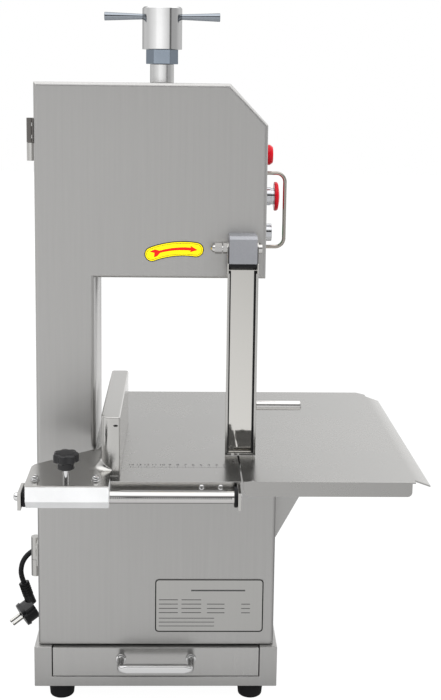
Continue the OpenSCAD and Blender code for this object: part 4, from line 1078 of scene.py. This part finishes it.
@dataclass
class FenceRail:
    """Guide rod, slider, fence and clamp knob."""

    rod_y: float = -142.0
    rod_z: float = 349.0
    rod_left: float = -160.0
    rod_right: float = 101.0
    rod_radius: float = 8.0
    plate_top: float = 369.5
    knob_x: float = -107.5

    # The upright box with its rounded front corner, its wall in metres, and the bend at its foot
    LEFT, RIGHT, FRONT, REAR = -68.0, -44.0, -106.0, 122.0
    LOW, HIGH = 363.0, 438.0
    TURN = 14.0
    WALL = 0.002
    BEND = 18.0
    # Right end of the plate under the box, and rear end of the bend
    PLATE_RIGHT = -55.0
    BEND_REAR = -32.0
    # Bore of the slider: points this near the rod's axis, and how far they are moved out
    BORE = 8.3
    EASE = 1.06
    # Index marks on the rod, and how far they stand below its front line in degrees
    MARKS = 60
    MARK_STEP = -2.6
    MARK_TURN = -9.0
    # The slider's screws and the knob's height over the plate
    SCREW_LEFT = -145.0
    SCREW_STEP = 73.5
    KNOB_RISE = 15.0

    def fence(self) -> None:
        """Folded fence: an upright box open below and behind, its base plate, the bend between them, and a
        black oval of painted shade for its hole.
        """
        left, right, front, rear = self.LEFT, self.RIGHT, self.FRONT, self.REAR
        turn = self._corner((left, front), (left, rear), (right, front), self.TURN, 10)
        plan = (turn + self._corner((right, front), (left, front), (right, rear), 2.5)
                + self._corner((right, rear), (right, front), (left, rear), 5.0)
                + self._corner((left, rear), (right, rear), (left, front), 5.0))
        box = self._upright(plan, self.LOW, self.HIGH)
        Workshop.round_edges(box, 3.4, 4, 40.0, lambda e: all(v.co.z > self.HIGH - 0.1 for v in e.verts))
        gone = [f for f in box.faces
                if f.normal.z < -0.9 or (f.normal.y > 0.6 and f.calc_center_median().z < self.HIGH - 4)]
        bmesh.ops.delete(box, geom=gone, context="FACES")
        body = self._piece(box, "fence_body")
        wall = body.modifiers.new("wall", "SOLIDIFY")
        wall.thickness = self.WALL
        wall.offset = -1.0
        body.modifiers.move(1, 0)
        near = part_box("fence")[0].y * 1000 + SHIFT_Y
        outline = fillet([(-156.0, near), (self.PLATE_RIGHT, near), (self.PLATE_RIGHT, front + 1.0),
                          (-66.5, front + 1.0), (-66.5, -14.0), (-70.0, -14.0), (-153.0, -84.0),
                          (-156.0, -92.0)], 2.0)
        plate = self._upright(outline, self.plate_top - 2.0, self.plate_top)
        Workshop.round_edges(plate, 0.5)
        self._piece(plate, "fence_plate")
        self._bend([(left, self.BEND_REAR), (left, -60.0)] + turn + [(self.PLATE_RIGHT, front)])
        # Painted shade: a flat black oval on the front face stands for the shaded inside of the fence's
        # hole
        spot = shift(right - 5.5, 0.0, self.HIGH - 11.0) @ Matrix.Diagonal((2.9, 1.0, 1.4, 1.0))
        oval = Workshop.slab([(cos(a), sin(a)) for a in (pi * k / 12 for k in range(24))],
                             front - 0.06, front + 1.0)
        oval.transform(spot)
        Workshop.piece(oval, "fence_hole_painted_shade", INK, "fence_carriage")

    @staticmethod
    def _piece(bm: Mesh, name: str) -> Object:
        """One of the pieces that stand for the fence."""
        return Workshop.piece(bm, name, SHEET, "fence_carriage", ["fence"])

    @staticmethod
    def _corner(corner: Pair, before: Pair, after: Pair, radius: float, steps: int = 6) -> list[Vector]:
        """A rounded corner between the points before and after it."""
        here = Vector(corner)
        start, end = (here + (Vector(point) - here).normalized() * radius for point in (before, after))
        return curve(start, here, end, steps)

    @staticmethod
    def _upright(plan: Sequence[Pair], low: float, high: float) -> Mesh:
        """A solid raised from an outline in X and Y."""
        bm = Workshop.slab(plan, 0.0, high - low)
        bm.transform(Matrix(((1, 0, 0, 0), (0, 0, 1, 0), (0, 1, 0, low), (0, 0, 0, 1))))
        bmesh.ops.recalc_face_normals(bm, faces=bm.faces)
        if bm.calc_volume(signed=True) < 0:
            bmesh.ops.reverse_faces(bm, faces=bm.faces)
        bm.normal_update()
        return bm

    def _bend(self, path: Sequence[Pair], steps: int = 9) -> None:
        """The hollow bend from plate to fence, along a path in X and Y with the fence on its left."""
        bm = bmesh.new()
        rows = []
        for i, here in enumerate(path):
            out = beside(path, i)
            radius = min(1.0, max(0.06, (len(path) - 1 - i) / (len(path) - 3))) * self.BEND
            turns = (radians(90 * k / steps) for k in range(steps + 1))
            line = [(radius * (1 - sin(a)), radius * (1 - cos(a)) - 0.05) for a in turns]
            rows.append([bm.verts.new((here[0] + out.x * off, here[1] + out.y * off, self.plate_top + rise))
                         for off, rise in line + [(-0.8, -0.5)]])
        self._piece(Workshop.skin(bm, rows, True), "fence_bend")

    def slider(self) -> None:
        """The white slider, its bore eased so that it clears the rod's index marks."""
        bm = Workshop.copy_of("fence_slider")
        for v in bm.verts:
            off = Vector((v.co.y - self.rod_y, v.co.z - self.rod_z))
            if off.length < self.BORE:
                v.co.y = self.rod_y + off.x * self.EASE
                v.co.z = self.rod_z + off.y * self.EASE
        Workshop.round_edges(bm, 1.2, 3)
        Workshop.piece(bm, "fence_slider_shown", WHITE, "fence_carriage", ["fence_slider"])

    def knob(self) -> None:
        """Lobed clamp knob on a bright stud."""
        place = shift(self.knob_x, self.rod_y, self.plate_top + self.KNOB_RISE)
        stud = fillet([(0.0, -27.0), (4.0, -27.0), (4.0, 0.5), (0.0, 0.5)], 0.3, False)
        Workshop.piece(Workshop.lathe(stud, place, 24), "knob_stud", POLISHED, "clamp_knob", ["fence_knob"])
        outline = fillet([(0.0, 0.0), (9.6, 0.0), (10.5, 1.0), (10.5, 8.6), (14.8, 9.0), (16.0, 10.2),
                          (16.0, 18.2), (14.6, 20.0), (9.0, 20.7), (0.0, 21.0)], 1.1, False)

        def lobes(radius: float, angle: float) -> float:
            """Seven soft lobes that fade towards neck and dome."""
            depth = 1.6 * min(max((radius - 10.6) / 4.0, 0.0), 1.0)
            return radius - depth * (0.5 - 0.5 * cos(7 * angle)) ** 1.6 * 1.4

        Workshop.piece(Workshop.lathe(outline, place, 112, lobes), "knob_grip", BLACK, "clamp_knob",
                       ["fence_knob"], 50.0)

    def build(self) -> None:
        """Make the rail and all that slides on it."""
        Workshop.softened("guide_rod", CHROME, 0.3)
        mark = Workshop.block((-0.7, -0.06, -1.1), (0.7, 0.30, 1.1))
        Repeater.row(mark, "rod_index_marks", ETCH, "frame", self.MARKS, (self.MARK_STEP, 0.0, 0.0),
                     shift(self.rod_right - 8.0, self.rod_y, self.rod_z)
                     @ Matrix.Rotation(radians(self.MARK_TURN), 4, "X") @ shift(0.0, -self.rod_radius, 0.0))
        Workshop.soften(("rail_brackets", SHEET, 0.8), ("rod_stop_rings", RUBBER, 0.8))
        self.end_screws()
        self.slider()
        self.fence()
        Repeater.row(button_head(9.0, 5.0, 11.0), "slider_screws_shown", POLISHED, "fence_carriage", 2,
                     (self.SCREW_STEP, 0.0, 0.0), shift(self.SCREW_LEFT, self.rod_y, self.plate_top),
                     ["slider_screws"])
        self.knob()

    def end_screws(self) -> None:
        """Dome-headed screw with a washer at the rod's left end, and a low head at its right end."""
        dome = button_head(10.0, 5.5, 13.0)
        dome.transform(axis_along((-1, 0, 0), self.rod_left - 4.2, self.rod_y, self.rod_z))
        Workshop.piece(dome, "rod_screw_left", POLISHED, "frame", ["rod_end_screws"])
        head = fillet([(0.0, -1.0), (5.0, -1.0), (5.0, 1.15), (1.8, 1.15), (1.8, 0.2), (0.0, 0.2)], 0.3,
                      False)
        low = Workshop.lathe(head, axis_along((1, 0, 0), self.rod_right + 4.2, self.rod_y, self.rod_z), 24)
        Workshop.piece(low, "rod_screw_right", POLISHED, "frame", ["rod_end_screws"])


@dataclass
class Guard:
    """The swinging blade guard and its block."""

    left: float = 89.7
    right: float = 129.7
    front: float = -33.5
    back: float = -19.5
    low: float = 364.5
    high: float = 609.0

    # The pivot's axis in Y and Z, and the hollow of the buffer about it
    PIVOT_Y, PIVOT_Z = -17.0, 637.0
    HOLLOW = 27.2
    BUFFER_TOP = 619.1

    def linings(self) -> None:
        """Bright hems on the channel's front edges, dark bands of painted shade beside its rear wall, and a
        rubber buffer.
        """
        hems, strips = [], []
        front = (self.front - 0.1, self.front + 1.1)
        rear = (self.back - 6.0, self.back - 1.5)
        for edge, way in ((self.left, 1), (self.right, -1)):
            for made, wide, depth, low, high in ((hems, 3.0, front, self.low + 1.0, self.high - 2.0),
                                                 (strips, 4.9, rear, self.low + 1.5, self.high - 1.0)):
                a, b = sorted((edge + 0.1 * way, edge + wide * way))
                made.append(Workshop.block((a, depth[0], low), (b, depth[1], high)))
        for a, b in ((self.left + 0.1, self.left + 7.9), (self.left + 12.1, self.right - 0.1)):
            hems.append(Workshop.block((a, front[0], self.low + 0.1), (b, front[1], self.low + 3.4)))
        hem = Workshop.joined(hems)
        Workshop.round_edges(hem, 0.4)
        Workshop.piece(hem, "guard_hems", SHEET, "guard")
        # Painted shade: dark rubber-finished bands stand for the shaded inner side walls of the channel
        Workshop.piece(Workshop.joined(strips), "guard_painted_shade_strips", RUBBER, "guard")
        arc = [radians(-34.7 + 5.0 * k) for k in range(13)]
        side = [(self.PIVOT_Y + self.HOLLOW * sin(a), self.PIVOT_Z - self.HOLLOW * cos(a)) for a in arc]
        buffer = Workshop.slab([(-32.5, self.BUFFER_TOP)] + side + [(-5.0, self.BUFFER_TOP)],
                               self.left + 2.2, self.right - 2.2)
        buffer.transform(Matrix(((0, 1, 0, 0), (1, 0, 0, 0), (0, 0, 1, 0), (0, 0, 0, 1))))
        bmesh.ops.recalc_face_normals(buffer, faces=buffer.faces)
        Workshop.piece(buffer, "guard_buffer", RUBBER, "door")

    def build(self) -> None:
        """Make the guard."""
        self.linings()
        Workshop.soften(("guard_block", BLOCK, 0.8, 3), ("guard_pivot", CHROME, 0.5),
                        ("guard_channel", MIRROR, 0.4), ("guard_grip", CHROME, 0.6, 3))


@dataclass
class SawWorks:
    """Wheels, band, drive and the parts that hold them."""

    axis_x: float = 2.0
    drive_z: float = 223.0
    upper_z: float = 718.13
    inner: float = 105.3
    thick: float = 0.8
    front: float = 41.5
    rear: float = 57.5
    pitch: float = 8.0
    depth: float = 2.6

    def _loop(self) -> list[tuple[Vector, Vector]]:
        """Points and outward normals of the band's inner face, a third of a tooth apart."""
        centre = self.upper_z - self.drive_z
        bend = pi * self.inner
        total = 2 * (centre + bend)
        count = int(total / self.pitch) * 3
        made = []
        for i in range(count):
            s = total * i / count
            way, axis_z = (1, self.drive_z) if s < centre + bend else (-1, self.upper_z)
            on = s if way > 0 else s - centre - bend
            if on < centre:
                normal = Vector((way, 0))
                spot = Vector((way * self.inner, axis_z + way * on))
            else:
                a = (on - centre) / self.inner + (0.0 if way > 0 else pi)
                normal = Vector((cos(a), sin(a)))
                spot = normal * self.inner + Vector((0, self.upper_z if way > 0 else self.drive_z))
            made.append((spot + Vector((self.axis_x, 0)), normal))
        return made

    def band(self) -> None:
        """The toothed band, as one loop."""
        bm = bmesh.new()
        rings = []
        for i, (spot, normal) in enumerate(self._loop()):
            edge = self.front + (0.0, self.depth * 0.9, self.depth)[i % 3]
            out = spot + normal * self.thick
            rings.append([bm.verts.new((p.x, y, p.y)) for p, y in (
                (spot, edge), (out, edge), (out, self.rear), (spot, self.rear))])
        Workshop.skin(bm, rings + rings[:1])
        Workshop.piece(bm, "saw_band_shown", BAND, "frame", ["saw_band"], 20.0)

    def build(self) -> None:
        """Make the works."""
        self.band()
        for finish, width, nodes in (
                (WHEEL, 0.8, ("upper_wheel", "drive_wheel")),
                (SHAFT, 0.6, ("upper_axle", "drive_shaft", "upper_bearings")),
                (MOTOR, 1.0, ("drive_housing", "wheel_carriage", "carriage_guides", "motor")),
                (BLOCK, 0.6, ("upper_blade_guide", "lower_blade_guide")),
                (WHITE, 0.6, ("band_wipers",))):
            Workshop.soften(*((node, finish, width) for node in nodes))
        Workshop.softened("motor_cover", PLINTH, 0.8, 3)


@dataclass
class TensionGear:
    """Tension handle, lock nut, screw and tube."""

    def build(self) -> None:
        """Make the gear."""
        Workshop.soften(("guide_tube", TURNED, 0.6), ("tension_screw", SHAFT, 0.6),
                        ("lock_nut", NUT, 0.9, 3), ("handle_hub", POLISHED, 1.0, 3, 20.0),
                        ("handle_bars", BAR, 0.9, 3))


@dataclass
class Controls:
    """Lamp, buttons and their guard loop on the right of the head."""

    head_right: float = 141.5
    depth: float = 85.0
    stop_z: float = 695.0

    def stop(self) -> None:
        """Mushroom stop button on a bright collar."""
        place = axis_along((1, 0, 0), self.head_right, self.depth, self.stop_z)
        collar = fillet([(0.0, -30.0), (10.9, -30.0), (10.9, 0.0), (15.0, 0.0), (15.0, 3.0), (12.5, 3.6),
                         (12.5, 11.0), (11.8, 11.0), (11.8, 0.8), (0.0, 0.8)], 0.3, False)
        stem = [(0.0, 5.2), (11.3, 5.2), (11.3, 15.7), (0.0, 15.7)]
        cap = fillet([(0.0, 15.5), (19.2, 15.5), (20.0, 16.4), (20.0, 18.8), (18.6, 20.8), (9.0, 22.7),
                      (0.0, 23.0)], 0.8, False)
        for name, profile, finish, body, node in (
                ("stop_collar_shown", collar, BEZEL, "frame", "stop_collar"),
                ("stop_button_stem", stem, BEZEL, "stop", "stop_button"),
                ("stop_button_shown", cap, RED, "stop", "stop_button")):
            Workshop.piece(Workshop.lathe(profile, place), name, finish, body, [node])

    def build(self) -> None:
        """Make the controls."""
        Workshop.softened("signal_lamp", RED, 0.6, 3)
        self.stop()
        Workshop.soften(("start_bezel", BEZEL, 0.8, 3), ("start_button", GREEN, 0.6),
                        ("button_loop", LOOP, 0.3))


@dataclass
class Studio:
    """Camera, floor, lamps and surroundings."""

    eye: Point = (28.3, -1442.6, 848.7)
    pitch: float = 0.1432
    yaw: float = -0.0222
    roll: float = -0.0113
    lens: float = 57.34
    shift: Pair = (0.023, -0.152)
    # Brightness round the horizon and above it by turn, and of the mirrored floor by depth and side; the
    # mirrored floor has painted shade under and behind the saw and painted light falling from the left
    horizon: tuple[Pair, ...] = (
        (0.0, 0.66), (0.10, 0.62), (0.25, 0.50), (0.33, 0.66), (0.39, 0.80), (0.42, 0.98), (0.48, 0.98),
        (0.54, 0.80), (0.58, 0.68), (0.615, 0.56), (0.63, 0.09), (0.645, 0.09), (0.66, 0.32), (0.75, 0.34),
        (0.88, 0.62), (0.93, 1.0), (0.955, 1.0), (0.98, 0.66), (1.0, 0.66))
    upper: tuple[Pair, ...] = (
        (0.0, 0.55), (0.06, 0.57), (0.11, 0.64), (0.25, 0.40), (0.36, 0.18), (0.42, 0.06), (0.50, 0.05),
        (0.58, 0.06), (0.64, 0.16), (0.75, 0.44), (0.83, 0.84), (0.91, 0.90), (0.95, 0.80), (1.0, 0.55))
    near_floor: tuple[Pair, ...] = (
        (0.0, 0.64), (0.19, 0.70), (0.35, 0.78), (0.46, 0.70), (0.479, 0.66), (0.495, 0.22), (0.55, 0.24),
        (0.60, 0.80), (0.69, 0.98), (1.0, 0.98))
    side_floor: tuple[Pair, ...] = ((0.36, 1.0), (0.50, 0.86), (0.64, 0.58))
    far_floor: tuple[Pair, ...] = ((0.2, 0.0), (0.35, 0.66))
    # Rise from the horizon to the wall above it, and from the wall to the ceiling
    to_wall: tuple[Pair, ...] = ((0.07, 0.0), (0.16, 1.0))
    to_ceiling: tuple[Pair, ...] = ((0.50, 0.0), (0.74, 1.0))
    ceiling: float = 1.65
    band: float = 1.25
    wall: float = 1.45

    # Half the floor's width and the reach of its ramps in metres, its grey, and how bright it is seen
    FLOOR = 9.0
    REACH = 4.0
    FLOOR_GREY = 0.42
    FLOOR_SEEN = 1.11
    FLOOR_MIRRORED = 1.3
    FLOOR_SHARE = 0.88

    def camera(self) -> None:
        """Place the camera where the photographer stood."""
        data = bpy.data.cameras.new("camera")
        data.lens = self.lens
        data.sensor_width = 36.0
        data.shift_x, data.shift_y = self.shift
        data.clip_end = 60.0
        obj = Workshop.placed("camera", data)
        cos_y, sin_y = cos(self.yaw), sin(self.yaw)
        cos_p, sin_p = cos(self.pitch), sin(self.pitch)
        ahead = Vector((-sin_y * cos_p, cos_y * cos_p, -sin_p))
        level = Vector((cos_y, sin_y, 0.0))
        rise = Vector((-sin_y * sin_p, cos_y * sin_p, cos_p))
        right = level * cos(self.roll) - rise * sin(self.roll)
        up = level * sin(self.roll) + rise * cos(self.roll)
        obj.matrix_world = Matrix.Translation(at(*self.eye)) @ Matrix(
            (right, up, -ahead)).transposed().to_4x4()
        bpy.context.scene.camera = obj

    def floor(self) -> None:
        """A pale floor that keeps the shadow and shows white."""
        bm = bmesh.new()
        bmesh.ops.create_grid(bm, x_segments=1, y_segments=1, size=self.FLOOR)
        obj = Workshop.linked(bm, "floor")
        made = bpy.data.materials.new("floor_white")
        made.use_nodes = True
        shader = Shader(made.node_tree)
        grey = self.FLOOR_GREY
        diffuse = shader.add("ShaderNodeBsdfDiffuse", None, {"Color": (grey, grey, grey, 1.0)})
        depth, side = shader.along("Y"), shader.along("X")
        part = 0.5 / self.REACH
        # Painted shade and light seen in mirrors: the floor is darker under the saw and lighter to the left
        mirrored = shader.ramp(depth * part + 0.5, self.near_floor) * shader.ramp(
            side * part + 0.5, self.side_floor) * self.FLOOR_MIRRORED
        mirrored = mirrored.most(shader.ramp(side.size() * (1 / self.REACH), self.far_floor))
        strength = (shader.ray("Camera") * self.FLOOR_SEEN).most(mirrored)
        white = shader.add("ShaderNodeEmission", None, {"Color": WHITE_LIGHT, "Strength": strength})
        mixed = shader.add("ShaderNodeMixShader", None,
                           {0: self._seen(shader) * self.FLOOR_SHARE, 1: diffuse, 2: white})
        shader.add_output("ShaderNodeOutputMaterial", mixed)
        obj.data.materials.append(made)

    @staticmethod
    def _seen(shader: Shader) -> Sock:
        """One for camera, glossy and transmission rays."""
        return shader.ray("Camera").most(shader.ray("Glossy")).most(shader.ray("Transmission"))

    def world(self) -> None:
        """Surroundings: white to the camera, a bright band round the horizon, dark above it in front."""
        world = bpy.data.worlds.new("studio")
        world.use_nodes = True
        bpy.context.scene.world = world
        shader = Shader(world.node_tree)
        ray = shader.add("ShaderNodeTexCoord", out="Generated")
        east, north, height = (shader.add("ShaderNodeSeparateXYZ", None, {0: ray}, out=axis)
                               for axis in "XYZ")
        turn = shader.add("ShaderNodeMath", {"operation": "ARCTAN2"}, {0: east, 1: north * -1.0})
        around = turn * (0.5 / pi) + 0.5
        raised = shader.ramp(height, self.to_wall)
        above = shader.ramp(height, self.to_ceiling)
        band = shader.ramp(around, self.horizon) * self.band
        wall = band * (1.0 - raised) + shader.ramp(around, self.upper) * self.wall * raised
        light = wall * (1.0 - above) + above * self.ceiling
        camera = shader.ray("Camera")
        level = light * (1.0 - camera) + camera
        output = shader.add("ShaderNodeBackground", None, {"Color": WHITE_LIGHT, "Strength": level})
        shader.add_output("ShaderNodeOutputWorld", output)

    @staticmethod
    def lamp(name: str, place: Point, target: Point, size: float, power: float) -> None:
        """A square soft lamp that mirrors don't show."""
        data = bpy.data.lights.new(name, "AREA")
        data.size = size
        data.energy = power
        obj = Workshop.placed(name, data)
        obj.location = at(*place)
        aim = at(*target) - obj.location
        obj.rotation_euler = aim.to_track_quat("-Z", "Y").to_euler()
        obj.visible_glossy = False

    def build(self) -> None:
        """Set up the whole studio."""
        self.camera()
        self.floor()
        self.world()
        self.lamp("key", (-500, -1500, 2600), (0, 0, 450), 3.0, 72.0)
        self.lamp("fill", (1700, -900, 1500), (0, 0, 400), 2.0, 20.0)
        bpy.context.scene.view_settings.view_transform = "Standard"


def main() -> None:
    """Build the studio and every sub-assembly."""
    logging.basicConfig(level=logging.INFO)
    Studio().build()
    for assembly in (MainsLead(), Cabinet(), Base(), WorkTable(), FenceRail(), Guard(), SawWorks(),
                     TensionGear(), Controls()):
        assembly.build()


if __name__ == "__main__":
    main()
